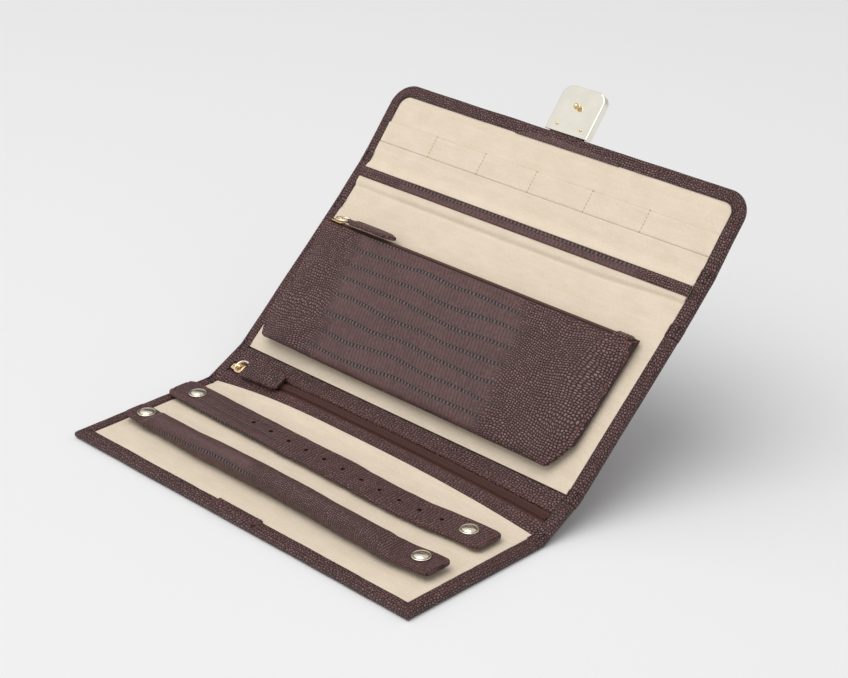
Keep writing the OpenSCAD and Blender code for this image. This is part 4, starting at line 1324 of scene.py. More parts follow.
strapTop = strapLook["low"] + strapLook["thick"]
rollTop = rollLook["flatLow"] + rollLook["flatThick"]
strapHeight = lambda x, y: strapTop + 0.22 * (1 - (y / 9.5) ** 2) + strapLift(x)
rollHeight = lambda x, y: rollTop
strapSeam = (strapLook["v"] - 0.4, strapHalfWidth, 1.7, strapHeight)
rollSeam = (rollWidth, 1.6, rollHeight)
for name, body, x0, x1, seam, side, bow in (
    ("strapRight", "earring_strap", 62, strapLook["end"], strapSeam, 1, strapBow),
    ("strapLeft", "base", strapLook["start"], -100.5, strapSeam, -1, strapBow),
    ("rollRight", "ring_roll", 92.5, rollLook["end"], (rollLook["v"] + 0.4, *rollSeam), 1, rollBow),
    ("rollLeft", "base", rollLook["start"], -103.5, (rollLook["v"] - 0.4, *rollSeam), -1, rollBow),
):
    bowed(beads(name + "Stitches", body, [endStitches(x0, x1, *seam, side)], stitchLook, leatherThread), bow)
print("stage: straps done")


def edgePatch():
    look = edgePatchLook
    x0, x1, v0, v1 = -look["halfLength"], look["halfLength"], look["v0"], look["v1"]
    xs, vs = (closeSteps(a, b, (0, 0.25, 0.6), 1, size) for a, b, size in ((x0, x1, 1.5), (v0, v1, 1.0)))

    def top(x, v):
        away = np.minimum(np.minimum(x - x0, x1 - x), np.minimum(v - v0, v1 - v))
        return 0.24 + look["thick"] * (0.35 + 0.65 * smooth(away / 0.6)) + 0.06 * unevenness(x, v, 4.0, 12.0)

    nets = slab("base", xs, vs, top, lambda x, v: -0.3)
    fit(makePiece("edgePatch", nets, [bandLeather]), "lizard_leather", "base", "edge_patch")


# the patch over the joint in the front border
edgePatchLook = {"halfLength": 15.5, "v0": 0.4, "v1": 7.8, "thick": 0.32}
edgePatch()
patchLines = [runAlongV("base", side * 14.3, 1.0, 7.2, 0.62) for side in (-1, 1)]
patchLines += [runAlongV("base", side * 12.9, 1.4, 6.8, 0.62) for side in (-1, 1)]
patchLines.append(runAlongX("base", -12, 12, 2.8, 0.6))
beads("edgePatchStitches", "base", patchLines, stitchLook, leatherThread)


zipLook = {"v": 11.5, "opening": 6.0, "tapeTop": -1.1, "tapeThick": 0.5, "slot": 0.9}


# a leather band along x, thick, with a rolled edge beside the zip
def band(name, node, v0, v1, zipSide, seed):
    xs = steps(-inner + 0.1, inner - 0.1, 1.6)
    inside = [0.0, 0.15, 0.45, 0.9, 1.5]
    vs = np.unique(np.round(closeSteps(v0, v1, inside, 2.2, 0.7), 4))
    bottom = zipLook["tapeTop"] + 0.02

    def top(x, v):
        zipAway = (v1 - v) if zipSide > 0 else (v - v0)
        rawAway = (v - v0) if zipSide > 0 else (v1 - v)
        roll = 0.9 * (1 - np.sqrt(np.clip(1 - (1 - np.clip(zipAway / 0.9, 0, 1)) ** 2, 0, 1)))
        groove = 0.16 * np.exp(-((zipAway - 1.7) / 0.35) ** 2) + 0.12 * np.exp(-((zipAway - 3.6) / 0.35) ** 2)
        raw = 0.2 * (1 - smooth(rawAway / 0.5))
        return 0.05 - roll - groove - raw + 0.1 * unevenness(x, v * 1.6, 5.5, seed)

    nets = slab("lower_spine", xs, vs, top, lambda x, v: bottom)
    raw = nets[4] if zipSide > 0 else nets[5]
    raw["paint"] = 1
    fit(makePiece(name, nets, [bandLeather, rawEdge]), "lizard_leather", "lower_spine", node)


zipLow, zipHigh = zipLook["v"] - zipLook["opening"] / 2, zipLook["v"] + zipLook["opening"] / 2
band("zipBandFront", "zip_band_front", 0.3, zipLow, 1, 21.0)
band("zipBandRear", "zip_band_rear", zipHigh, case["lowerSpine"] - 0.3, -1, 23.0)
bandLines = [
    runAlongX("lower_spine", -inner + 2, inner - 2, v, -0.02)
    for v in (zipLow - 1.7, zipLow - 3.6, zipHigh + 1.7, zipHigh + 3.6)
]
beads("zipBandStitches", "lower_spine", bandLines, stitchLook, leatherThread)


def tapeNets(place, x0, x1, width, thick, slot):
    xs = steps(x0, x1, 3.0)
    nets = []
    for side in (-1, 1):
        ys = side * np.linspace(slot / 2, width / 2, 6)
        x, y = np.meshgrid(xs, ys, indexing="ij")
        skin = np.stack([x, y], -1)
        nets += closedSheets(place(x, y, 0.0 * x), place(x, y, 0.0 * x - thick), skin, [0.4, 0.4])
    return nets


def onPocketZip(x, y, z):
    return at("lower_spine", x, zipLook["v"] + y, zipLook["tapeTop"] + z)


pouchLook = {
    "x0": -110.5, "x1": 104.5, "v0": 7.0, "v1": 78.0, "back": 2.6, "chamferWidth": 7.0, "chamferHeight": 15.0,
    "tape": 6.0, "tilt": math.radians(55), "zipW": 2.6 + 6.0 * math.sin(math.radians(55)),
    # heights of the front by distance from the side seam: along the foot, and under the zip
    "seamHeights": [
        (0, 4.05), (0.25, 4.55), (0.7, 4.95), (1.4, 5.05), (2.0, 4.95), (2.5, 4.75), (3.1, 5.05), (4.5, 5.7),
        (7, 6.5), (11, 7.15), (16, 7.45),
    ],
    "fullHeights": [(0, 6.3), (0.3, 6.9), (0.9, 7.2), (2, 7.2), (2.5, 7.05), (3.2, 7.2), (6, 7.4), (12, 7.5)],
}


def onPouchZip(x, y, z):
    look, t = pouchLook, pouchLook["tilt"]
    y = y + look["tape"] / 2
    v = look["v1"] + y * math.cos(t) + z * math.sin(t)
    return at("back_panel", x, v, look["zipW"] - y * math.sin(t) + z * math.cos(t))


pocketTape = tapeNets(onPocketZip, -inner + 0.1, inner - 0.1, 15.0, zipLook["tapeThick"], zipLook["slot"])
fit(makePiece("pocketZipTape", pocketTape, [zipTapeCloth]), "zip", "lower_spine", "pocket_zip_tape")


# two interleaved rows of nylon teeth
def zipTeeth(name, body, node, place, x0, x1, up):
    x = np.linspace(x0, x1, 60)
    rise = 0.72 + 0 * x
    lines = [(place(x + shift, side * rise, rise), up) for side, shift in ((-1, 0.0), (1, 0.52))]
    teeth = beads(name, body, lines, toothLook, zipNylon)
    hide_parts(node)


spineUp = along("lower_spine", 0, 0, 1)
zipTeeth("pocketZipTeeth", "lower_spine", "pocket_zip_coil", onPocketZip, -half + 8, half - 8, spineUp)


# cords beside the teeth, where the coil is sewn to the tape
def coilCords(name, body, place, x0, x1):
    nets = []
    x = steps(x0, x1, 2.0)
    for side in (-1, 1):
        y, z = side * 1.85 + 0.28 * np.cos(around(8)), 0.24 + 0.28 * np.sin(around(8))
        points = place(x[:, None], y[None, :], z[None, :])
        skin = np.stack(np.broadcast_arrays(x[:, None], np.linspace(0, 1.8, 9)[None, :]), -1)
        nets.append(net(points, skin, wrap=True, caps=True))
    fit(makePiece(name, nets, [zipTapeCloth]), "zip", body)


coilCords("pocketCoilCords", "lower_spine", onPocketZip, -half + 8, half - 8)


pullLook = {"ring": 3.9, "wire": 1.2, "height": 3.85, "hang": 1.1, "thick": 2.0}


def ringPiece(name, body, node, place, x0):
    r, wire = pullLook["ring"], pullLook["wire"] / 2
    u = np.linspace(0, 2 * np.pi, 65)
    uu, vv = np.meshgrid(u, around(16), indexing="ij")
    x = x0 + r + (r + wire * np.cos(vv)) * np.cos(uu)
    y = (r + wire * np.cos(vv)) * np.sin(uu)
    z = pullLook["height"] + wire * np.sin(vv)
    skin = np.stack(np.broadcast_arrays(u[:, None] * r, np.linspace(0, 3.8, 17)[None, :]), -1)
    fit(makePiece(name, [net(place(x, y, z), skin, wrap=True)], [paleGold]), "gold", body, node)


# leather tab with a rounded or pointed end, its edges soft, running out from the ring
def tabPiece(name, body, node, place, x0, length, width, shape):
    low = pullLook["height"] - pullLook["hang"]
    start = x0 + 2 * pullLook["ring"] - 1.2
    rings, skins = [], []
    pointed = body == "pouch_pull"
    turn = length - shape * (1 - np.sin(np.radians(np.arange(0, 91, 10))))
    parts = [[0, 0.3, 0.8], steps(1.4, length - shape, 1.2), turn, [length - 0.15, length]]
    xs = np.unique(np.concatenate(parts))
    for x in xs:
        left = length - x
        a = width / 2
        if pointed:
            a = min(a, 0.9 + (a - 0.9) * left / shape) if left < shape else a
            a = min(a, 1.3 + 2.7 * float(smooth((x - 3.6) / 1.0)))
        else:
            a -= cornerIn(left, shape)
        a -= 0.5 * (1 - min(1.0, x / 0.6))
        b = pullLook["thick"] / 2 * (0.72 + 0.28 * min(1.0, left / 0.5))
        yy, zz = softSection(around(36), a, b, 0.4, 0.4)
        arch = 0.25 * math.sin(math.pi * x / length)
        groove = 0.12 * np.exp(-((a - np.abs(yy) - 1.2) / 0.3) ** 2) * (zz > 0)
        rings.append(place(start + x + 0 * yy, yy, low + pullLook["thick"] / 2 + zz + arch - groove))
        skins.append(np.stack([np.full(37, start + x), runRound(yy, zz)], -1))
    fit(makePiece(name, [tube(rings, skins)], [bandLeather]), "lizard_leather", body, node)
    inset = 1.2
    a = width / 2 - inset
    line = [(x, a) for x in steps(6.0 if pointed else 1.5, length - shape - 0.5, 1.5)]
    if pointed:
        line += [(length - 3.0, 0.9)]
    else:
        r = shape - inset
        turn = np.radians([20, 45, 70, 90])
        line += [(length - shape + r * math.sin(t), a - r * (1 - math.cos(t))) for t in turn]
    x, y = np.array(line + [(x, -y) for x, y in line[::-1]]).T
    path = place(start + x, y, low + pullLook["thick"] + 0.25 * np.sin(np.pi * x / length))
    up = place(np.zeros(1), np.zeros(1), np.ones(1)) - place(np.zeros(1), np.zeros(1), np.zeros(1))
    look = {**stitchLook, "spacing": 2.1, "size": (1.6, 0.42, 0.36)}
    beads(name + "Stitches", body, [(path, Vector(up[0]).normalized())], look, leatherThread)


sliderLook = {
    # half widths along the plate
    "outline": [
        (-4.2, 1.3), (-4.0, 1.6), (-3.0, 1.95), (-1.0, 2.2), (1.5, 2.45), (3.4, 2.5), (4.1, 2.3), (4.3, 2.0),
    ],
    "plate": 0.84,
}


# slider: a tapered plate over the teeth with a small bridge for the ring
def sliderPiece(name, body, node, place, x0):
    angles = around(32)
    rings, skins = [], []
    for x, a in sliderLook["outline"]:
        b = sliderLook["plate"] / 2 * (0.7 if abs(x) > 4.15 else 1.0)
        y, z = softSection(angles, a, b, 0.55, 0.6)
        rings.append(place(x0 + x + 0 * angles, y, 1.9 + z))
        skins.append(np.stack([np.full(33, x), np.arange(33) * 0.3], -1))
    nets = [tube(rings, skins)]
    rings = []
    for t in np.radians(np.arange(0, 181, 15)):
        x, z = -2.6 * math.cos(t), 2.1 + 1.9 * math.sin(t) ** 0.8
        out = 0.38 * np.cos(angles)
        rings.append(place(x0 + x - out * math.cos(t), 0.75 * np.sin(angles), z + out * math.sin(t)))
    nets.append(tube(rings, np.stack(np.meshgrid(np.arange(13.0), np.arange(33.0), indexing="ij"), -1)))
    fit(makePiece(name, nets, [warmGold], sharp=50), "gold", body, node)


pocketSliderX = -half + 13.0
pouchSliderX = pouchLook["x0"] + 8.0
sliderPiece("pocketSlider", "pocket_slider", "pocket_zip_slider", onPocketZip, pocketSliderX)
sliderPiece("pouchSlider", "pouch_slider", "pouch_zip_slider", onPouchZip, pouchSliderX)
ringPiece("pocketPullRing", "pocket_pull", "pocket_pull_ring", onPocketZip, pocketSliderX)
tabPiece("pocketPullTab", "pocket_pull", "pocket_pull_tab", onPocketZip, pocketSliderX, 27.5, 12.0, 3.8)
ringPiece("pouchPullRing", "pouch_pull", "pouch_pull_ring", onPouchZip, pouchSliderX)
tabPiece("pouchPullTab", "pouch_pull", "pouch_pull_tab", onPouchZip, pouchSliderX, 36.0, 8.0, 6.0)
print("stage: zip done")


slipLook = {"top": 91.0, "thick": 0.35, "stand": 0.33}


def slipPocket():
    x0, x1, v0, v1 = -inner + 0.12, inner - 0.12, 0.35, slipLook["top"]
    xs = closeSteps(x0, x1, (0, 0.4), 1.5, 3.0)
    vs = np.unique(np.concatenate([[v0, v0 + 0.4], steps(v0 + 1.5, v1 - 2, 2.6), [v1 - 1, v1 - 0.4, v1]]))

    def height(x, v):
        away = np.minimum(np.minimum(x - x0, x1 - x), np.minimum(v - v0, (v1 - v) * 0.7))
        return -0.37 + slipLook["stand"] * smooth(away / 9.0) * (1 + 0.5 * unevenness(x, v, 26.0, 31.0))

    nets = slab("back_panel", xs, vs, lambda x, v: height(x, v) + slipLook["thick"], height)
    piece = fit(makePiece("slipPocket", nets, [suede]), "suede", "back_panel", "slip_pocket")


slipPocket()


flapPocketLook = {
    "pocketTop": 9.6, "loopTop": 21.6, "thick": 0.45, "loopsAt": [-76.9, -41.1, -5.0, 32.8, 69.8],
}


def flapStrip(name, node, v0, v1, seed, ledge):
    x0, x1 = -inner + 0.1, inner - 0.1
    xs, vs = closeSteps(x0, x1, (0, 0.4), 1.5, 2.6), closeSteps(v0, v1, (0, 0.2, 0.5), 1.2, 1.2)

    def top(x, v):
        mouth = smooth((v - v1 + 2.5) / 2.5)
        lift = ledge * mouth * (0.6 + 0.5 * np.sin(x / 31.0 + seed))
        edge = 0.18 * (1 - smooth((v1 - v) / 0.4))
        low = 0.33 * (1 - smooth((v - v0) / 4.0)) if v0 < 1 else 0.2 * (1 - smooth((v - v0) / 0.5))
        flat = case["suedeTop"] + flapPocketLook["thick"]
        return flat + lift - edge - low + 0.05 * unevenness(x, v, 8.0, seed)

    nets = slab("flap", xs, vs, top, lambda x, v: case["suedeTop"] - 0.05)
    nets[5]["paint"] = 1
    fit(makePiece(name, nets, [suede, suedeEdge]), "suede", "flap", node)


pocketTop, loopTop = flapPocketLook["pocketTop"], flapPocketLook["loopTop"]
flapStrip("pendantPocket", "pendant_pocket", 0.35, pocketTop, 41.0, 0.28)
flapStrip("loopStrip", "loop_strip", pocketTop + 0.25, loopTop, 43.0, 0.12)
suedeStitch = {**stitchLook, "spacing": 1.9, "size": (1.4, 0.42, 0.3)}
loopLines = [runAlongV("flap", x, pocketTop + 0.8, loopTop + 0.2, 0.1) for x in flapPocketLook["loopsAt"]]
beads("loopStripStitches", "flap", loopLines, suedeStitch, suedeThread)


bindingLook = {"v0": 18.0, "v1": 24.0}


def bindingStrip():
    v0, v1 = bindingLook["v0"], bindingLook["v1"]
    x0, x1 = -inner - 0.6, inner + 0.6
    xs, vs = closeSteps(x0, x1, (0, 0.3, 0.8), 1.5, 1.5), closeSteps(v0, v1, (0, 0.15, 0.4, 0.8), 1.2, 0.45)

    def top(x, v):
        wave = 0.25 * unevenness(x, 0 * v, 20.0, 51.0)
        away = np.minimum(v - v0, v1 - v)
        ends = smooth((half - 6.6 - np.abs(x)) / 2.0)
        edge = 0.5 * (1 - np.sqrt(np.clip(1 - (1 - np.clip(away / 0.7, 0, 1)) ** 2, 0, 1)))
        groove = 0.14 * np.exp(-((away - 1.5) / 0.3) ** 2)
        ladder = 0.13 * np.sin(x * 2.4) * smooth((away - 1.8) / 0.6)
        return bindingRise(x, v) - 0.4 + 0.75 - edge - groove + ladder + wave * 0.2 - 0.25 * (1 - ends)

    nets = slab("upper_spine", xs, vs, top, lambda x, v: bindingRise(x, v) - 0.45)
    fit(makePiece("bindingStrip", nets, [ladderLeather]), "lizard_leather", "upper_spine", "binding_strip")
    lines = []
    for v in (v0 + 1.5, v1 - 1.5):
        x = np.linspace(-inner + 1.5, inner - 1.5, 90)
        points = at("upper_spine", x, v, bindingRise(x, v + 0 * x) + 0.22)
        lines.append((points, along("upper_spine", 0, 0, 1)))
    beads("bindingStitches", "upper_spine", lines, stitchLook, leatherThread)


bindingStrip()
print("stage: pockets and binding done")


def pouchDepth(x, v):
    look = pouchLook
    side = np.minimum(x - look["x0"], look["x1"] - x)
    slant = np.hypot(look["chamferWidth"], look["chamferHeight"])
    left = ((v - look["v0"]) / look["chamferHeight"] + (x - look["x0"]) / look["chamferWidth"] - 1)
    right = ((v - look["v0"]) / look["chamferHeight"] + (look["x1"] - x) / look["chamferWidth"] - 1)
    corner = np.minimum(left, right) * look["chamferWidth"] * look["chamferHeight"] / slant
    return np.maximum(0.0, np.minimum(side, corner + 0.01))


# how far the pouch stands off the back panel along its free lower edge
def pouchLift(x, v):
    free = 1 - smooth((v - 7) / 42.0)
    return free ** 1.6 * (0.5 + 2.4 * smooth((-58 - x) / 34) + 0.25 * np.sin(x / 13.0))


def pouchFace(x, v):
    d = pouchDepth(x, v)
    seam, full = (np.interp(d, *zip(*pouchLook[key])) for key in ("seamHeights", "fullHeights"))
    t = smooth((v - 62) / 13.0)
    body = seam * (1 - t) + full * t
    crown = 0.3 * smooth(d / 20) * np.sin(np.clip((v - 7) / 71.0, 0, 1) * np.pi)
    rough = 0.22 * unevenness(x, v, 13.0, 61.0) * smooth(d / 8)
    hem = 0.32 * np.exp(-((78 - v - 3.0) / 0.5) ** 2)
    return body + crown + rough - hem + pouchLift(x, v)


def pouchOutline(x):
    look = pouchLook
    d = min(x - look["x0"], look["x1"] - x)
    start = look["v0"] + look["chamferHeight"] * max(0.0, 1 - d / look["chamferWidth"])
    return start + 0.5 * math.exp(-((d - look["chamferWidth"]) / 1.2) ** 2)


def pouchStations():
    x0, x1 = pouchLook["x0"], pouchLook["x1"]
    ends = (0, 0.12, 0.3, 0.6, 1.0, 1.5, 2.0, 2.5, 3.0, 3.6, 4.3, 5.1, 6.0, 6.8, 7.6)
    return closeSteps(x0, x1, ends, 9, 1.6)


# the front wraps round the fold at the foot and ends in a lip over the zip tape
def pouchFront():
    look, t = pouchLook, pouchLook["tilt"]
    lip = [(-2.9, 0.6), (-2.5, 0.62), (-2.15, 0.45), (-2.05, 0.15), (-2.3, -0.05), (-3.0, -0.5)]
    rings, skins = [], []
    for x in pouchStations():
        vb = pouchOutline(x)
        lift = lambda v: float(pouchLift(x, v))
        h = float(pouchFace(np.array(x), np.array(vb + 2.0))) - lift(vb)
        r = max(0.5, (h - look["back"]) / 2)
        points = []
        rv = min(3.7, 1.55 * r)
        for a in np.radians(np.arange(0, 181, 22.5)):
            v, w = vb + rv - rv * math.sin(a), look["back"] + r - r * math.cos(a)
            points.append((v, w + lift(vb)))
        f = np.concatenate([np.linspace(0.02, 0.9, 40), np.linspace(0.915, 1, 8)])
        vs = vb + rv + (77.3 - vb - rv) * f
        ws = pouchFace(np.full(len(vs), x), vs)
        blend = smooth((vs - vb - rv) / 3.0)
        ws = points[-1][1] * (1 - blend) + ws * blend
        points += list(zip(vs, ws))
        drop = float(pouchFace(np.array(x), np.array(77.0))) - 7.75
        for y, z in lip:
            y3 = y + look["tape"] / 2
            w = look["zipW"] - y3 * math.sin(t) + z * math.cos(t) + min(0.0, drop) * 0.6
            points.append((look["v1"] + y3 * math.cos(t) + z * math.sin(t), w))
        points.append((77.2, 3.78))
        points += [(v, 3.78 + lift(v)) for v in (60.0, 45.0, 32.0)]
        points.append((vb + rv + 0.6, 3.78 + lift(vb)))
        v, w = np.array(points).T
        run = runRound(v, w)
        rings.append(at("back_panel", x, v, w))
        skins.append(np.stack([np.full(len(run), x), run - run[12] + v[12]], -1))
    front = makePiece("pouchFront", [tube(rings, skins)], [pouchLeather])
    fit(front, "lizard_leather", "pouch", "pouch_front")


def pouchBack():
    look = pouchLook
    rings, skins = [], []
    for x in pouchStations():
        vb = pouchOutline(x) + 2.2
        vs = np.concatenate([np.linspace(vb, 80.3, 34), [80.9, 81.5, 81.9]])
        lift = pouchLift(np.full(len(vs), x), vs)
        soft = 0.1 * unevenness(np.full(len(vs), x), vs, 12.0, 71.0)
        outer = [(v, w) for v, w in zip(vs, look["back"] + lift + soft * 0.5)]
        lip = [(82.0, 3.1), (81.7, 3.55), (80.75, 3.7)]
        inside = [(v, 3.72 + float(pouchLift(np.array(x), np.array(v)))) for v in (60.0, 45.0, 32.0, vb)]
        v, w = np.array(outer + lip + inside).T
        run = runRound(v, w)
        rings.append(at("back_panel", x, v, w))
        skins.append(np.stack([np.full(len(run), x), run + 100.0], -1))
    fit(makePiece("pouchBack", [tube(rings, skins)], [bandLeather]), "lizard_leather", "pouch", "pouch_back")


pouchFront()
pouchBack()


# stitches down both ends, along the slants and under the zip
def pouchStitches():
    look, inset = pouchLook, 2.5
    lines = []
    for side in (-1, 1):
        edge = look["x0"] if side < 0 else look["x1"]
        x = np.array([edge - side * (inset + look["chamferWidth"] * f) for f in (1.0, 0.75, 0.5, 0.25, 0.0)])
        v = np.array([look["v0"] + 1.6 + look["chamferHeight"] * f for f in (0.0, 0.25, 0.5, 0.75, 1.0)])
        x = np.concatenate([x, np.full(30, edge - side * inset)])
        v = np.concatenate([v, np.linspace(look["v0"] + look["chamferHeight"] + 4, 76.5, 30)])
        lines.append((at("back_panel", x, v, pouchFace(x, v) + 0.02), along("back_panel", 0, 0, 1)))
    x = np.linspace(look["x0"] + 2, look["x1"] - 2, 90)
    lines.append((at("back_panel", x, 75.0, pouchFace(x, 75.0 + 0 * x) + 0.03), along("back_panel", 0, 0, 1)))
    beads("pouchStitches", "pouch", lines, stitchLook, leatherThread)


pouchStitches()

# the cloth bag inside the pouch
def pouchLining():
    look = pouchLook
    xs = steps(look["x0"] + 8.6, look["x1"] - 8.6, 6)
    vs = steps(look["v0"] + 6.5, 74, 5)
    mid = lambda x, v: 4.35 + pouchLift(x, v) + 0.1 * unevenness(x, v, 15.0, 81.0)
    nets = slab("back_panel", xs, vs, lambda x, v: mid(x, v) + 0.25, lambda x, v: mid(x, v) - 0.25)
    piece = fit(makePiece("pouchLining", nets, [bagCloth]), "bag_cloth", "pouch", "pouch_lining")


pouchLining()
pouchTape = tapeNets(onPouchZip, pouchLook["x0"] + 1.0, pouchLook["x1"] - 1.0, 5.9, 0.45, zipLook["slot"])
fit(makePiece("pouchZipTape", pouchTape, [pouchTapeCloth]), "zip", "pouch", "pouch_zip_tape")
upAtZip = Vector((onPouchZip(0.0, 0.0, 1.0) - onPouchZip(0.0, 0.0, 0.0)).tolist()).normalized()
teethStart, teethEnd = pouchLook["x0"] + 2.2, pouchLook["x1"] - 12.5
zipTeeth("pouchZipTeeth", "pouch", "pouch_zip_coil", onPouchZip, teethStart, teethEnd, upAtZip)
coilCords("pouchCoilCords", "pouch", onPouchZip, teethStart, teethEnd)


# leather tab over the zip's end
def zipEndTab():
    x0, x1 = pouchLook["x1"] - 12.2, pouchLook["x1"] - 2.0
    rings, skins = [], []
    turn = x1 - 2.6 * (1 - np.sin(np.radians(np.arange(0, 91, 15))))
    ends = x0 + np.array([0, 0.15, 0.5, 1.0])
    for x in np.unique(np.concatenate([ends, steps(x0 + 1.6, x1 - 3, 0.8), turn])):
        left = x1 - x
        a = max(0.3, 2.7 - cornerIn(left, 2.2))
        b = (0.75 + 0.25 * min(1.0, (x - x0) / 0.5)) * (0.5 + 0.5 * min(1.0, left / 0.8))
        yy, zz = softSection(around(32), a, b, 2 / 3, 2 / 3)
        rings.append(onPouchZip(x + 0 * yy, yy, zz + 1.0))
        skins.append(np.stack([np.full(33, x), runRound(yy, zz)], -1))
    tab = makePiece("pouchZipEndTab", [tube(rings, skins)], [bandLeather])
    fit(tab, "lizard_leather", "pouch", "pouch_zip_end_tab")
    x = np.linspace(x0 + 1, x1 - 1.6, 12)
    path = onPouchZip(np.concatenate([x, x[::-1]]), np.repeat([1.6, -1.6], 12), np.full(24, 1.98))
    look = {**stitchLook, "spacing": 2.1, "size": (1.5, 0.4, 0.34)}
    beads("endTabStitches", "pouch", [(path, upAtZip)], look, leatherThread)


zipEndTab()
print("stage: pouch done")


def flapPatch():
    x, f = np.meshgrid(steps(-30, 40, 1.0), np.linspace(0, 1, 9), indexing="ij")
    shape = np.clip(1 - ((x - 3) / np.where(x < 3, 33.2, 37.2)) ** 2, 0.02, 1) ** 0.75
    v = case["flap"] - case["border"] - 0.4 + (0.4 + 3.0 * shape) * f
    top = 0.27 + 0.12 * np.sqrt(np.clip(f * (1 - f) * 4, 0, 1)) - 0.25 * (1 - f) ** 6
    nets = closedSheets(at("flap", x, v, top), at("flap", x, v, -0.45), np.stack([x, v], -1), [0.3, 0.3])
    fit(makePiece("flapPatch", nets, [smoothLeather]), "lizard_leather", "flap", "flap_patch")


smoothLeather = leatherMaterial("smoothLeather", size=0.8, stretch=2.2, disorder=0.7, flow=3.0, depth=0.00008)
flapPatch()


def tongue():
    xs, vs = steps(-11, 11, 1.4), steps(37.2, 53, 1.2)
    nets = slab("flap", xs, vs, lambda x, v: -1.03 + 0 * x, lambda x, v: -2.78 + 0 * x)
    fit(makePiece("claspTongue", nets, [bandLeather]), "lizard_leather", "flap", "clasp_tongue")


tongue()

plateLook = {"width": 28.0, "length": 26.0, "v0": 45.3, "thick": 4.6, "corner": 6.5, "bevel": 0.45}


def claspPlate():
    look = plateLook
    a, r = look["width"] / 2, look["corner"]
    outline = [(-a, v) for v in (0.0, 3.0, 8.0, 13.0)]
    for angle in np.radians(np.arange(180, 89, -6)):
        outline.append((-a + r + r * math.cos(angle), look["length"] - r + r * math.sin(angle)))
    outline += [(-x, v) for x, v in outline[::-1]]
    outline = np.array(outline)
    sides = np.roll(outline, -1, axis=0) - np.roll(outline, 1, axis=0)
    outward = np.stack([-sides[:, 1], sides[:, 0]], -1)
    outward /= np.linalg.norm(outward, axis=1)[:, None]
    for k in (0, -1):
        outward[k] = (-1.0 if k == 0 else 1.0, -1.0)
    b = look["bevel"]
    levels = [(b, -look["thick"]), (b * 0.3, -look["thick"] + b * 0.3), (0, -look["thick"] + b)]
    levels += [(0, -b), (b * 0.3, -b * 0.3), (b, 0.0)]
    rings, skins = [], []
    for inset, w in levels:
        p = outline - outward * inset
        closed = np.vstack([p, p[:1]])
        rings.append(at("flap", p[:, 0], look["v0"] + p[:, 1], w))
        skins.append(closed)
    fit(makePiece("claspPlate", [tube(rings, skins)], [mirrorGold], sharp=12), "gold", "flap", "clasp_plate")


mirrorGold = goldMaterial("mirrorGold", (0.94, 0.89, 0.79), 0.03)
claspPlate()


# a post or rivet turned on the clasp plate at x, v
def onPlate(x, v, profile, count):
    return turned(at("flap", x, v, 0.0).tolist(), along("flap", 0, 0, 1), profile, count)


postLook = {"v": 60.3, "ball": 1.6, "center": 1.7}
r = postLook["ball"]
ball = [(0.001, -1.2), (0.9, -1.2), (0.9, 0.05), (0.85, 0.45)]
ball += [(r * math.cos(a), postLook["center"] + r * math.sin(a)) for a in np.radians(np.arange(-54, 90, 9))]
ball += [(0.001, postLook["center"] + r)]
post = makePiece("claspPost", [onPlate(0.0, postLook["v"], ball, 32)], [warmGold], sharp=50)
fit(post, "gold", "flap", "clasp_post")

rivetLook = {
    "v": 49.4, "x": 8.0,
    "profile": [
        (0.001, -0.6), (0.6, -0.6), (0.6, 0.0), (0.95, 0.02), (0.95, 0.15), (0.85, 0.35), (0.6, 0.52),
        (0.3, 0.59), (0.001, 0.61),
    ],
}
rivets = [onPlate(side * rivetLook["x"], rivetLook["v"], rivetLook["profile"], 24) for side in (-1, 1)]
fit(makePiece("claspRivets", rivets, [warmGold], sharp=50), "gold", "flap", "clasp_rivets")
print("stage: clasp done")


def zipBag():
    x1, v0, v1 = inner - 10.2, case["border"] + 16.2, case["baseDepth"] - 1.2
    cupV, cupR = flapEnd + 15.3, 5.6
    top, bottom = case["suedeBottom"] - 0.08, case["suedeBottom"] - 0.42
    angles = around(64) + np.pi / 64
    hole = np.stack([cupR * np.cos(angles), cupV + cupR * np.sin(angles)], -1)
    far = []
    for a in angles:
        c, s = math.cos(a), math.sin(a)
        reach = [x1 / abs(c)] + [((v1 - cupV) if s > 0 else (cupV - v0)) / abs(s)]
        far.append((min(reach) * c, cupV + min(reach) * s))
    far = np.array(far)
    p = np.array([hole * (1 - t) + far * t for t in (0.0, 0.03, 0.15, 0.35, 0.65, 1.0)])
    soft = 0.03 * unevenness(p[..., 0], p[..., 1], 12.0, 91.0)
    loop = np.concatenate([p, p[::-1]])
    w = np.concatenate([top + soft, bottom + soft[::-1]])
    points = at("base", loop[..., 0], loop[..., 1], w)
    points = np.concatenate([points, points[:1]])
    skin = np.concatenate([loop, loop[:1]])
    skin = np.concatenate([skin, skin[:, :1]], 1)
    bag = makePiece("zipPocketBag", [net(points, skin, wrap=True)], [bagCloth])
    piece = fit(bag, "bag_cloth", "base", "zip_pocket_bag")


zipBag()

keptFinish = {
    boardMaterial: ["base_board", "back_board", "flap_board"],
    feltMaterial: ["lower_spine_felt", "upper_spine_felt"],
    innerMetal: [
        "clasp_keeper", "keeper_spring", "base_studs", "pouch_studs",
        "roll_socket", "strap_socket", "pouch_sockets",
    ],
}
for material, nodes in keptFinish.items():
    for node in nodes:
        obj = frame["nodes"][node]
        obj.data.materials.clear()
        obj.data.materials.append(material)
print("stage: kept parts finished")


setLook = {
    "floor": (0.83, 0.83, 0.83),
    "key": {"place": (-0.15, -0.6, 2.3), "size": 2.6, "power": 30.0},
    "glow": {"toward": (-0.64, -0.5, 0.58), "from": 0.45, "to": 0.85, "strength": 0.86},
    "shade": {"toward": (-0.6, 0.76, 0.3), "from": 0.8, "to": 0.95, "strength": 0.8},
    "world": {"low": 0.56, "high": 0.68},
}


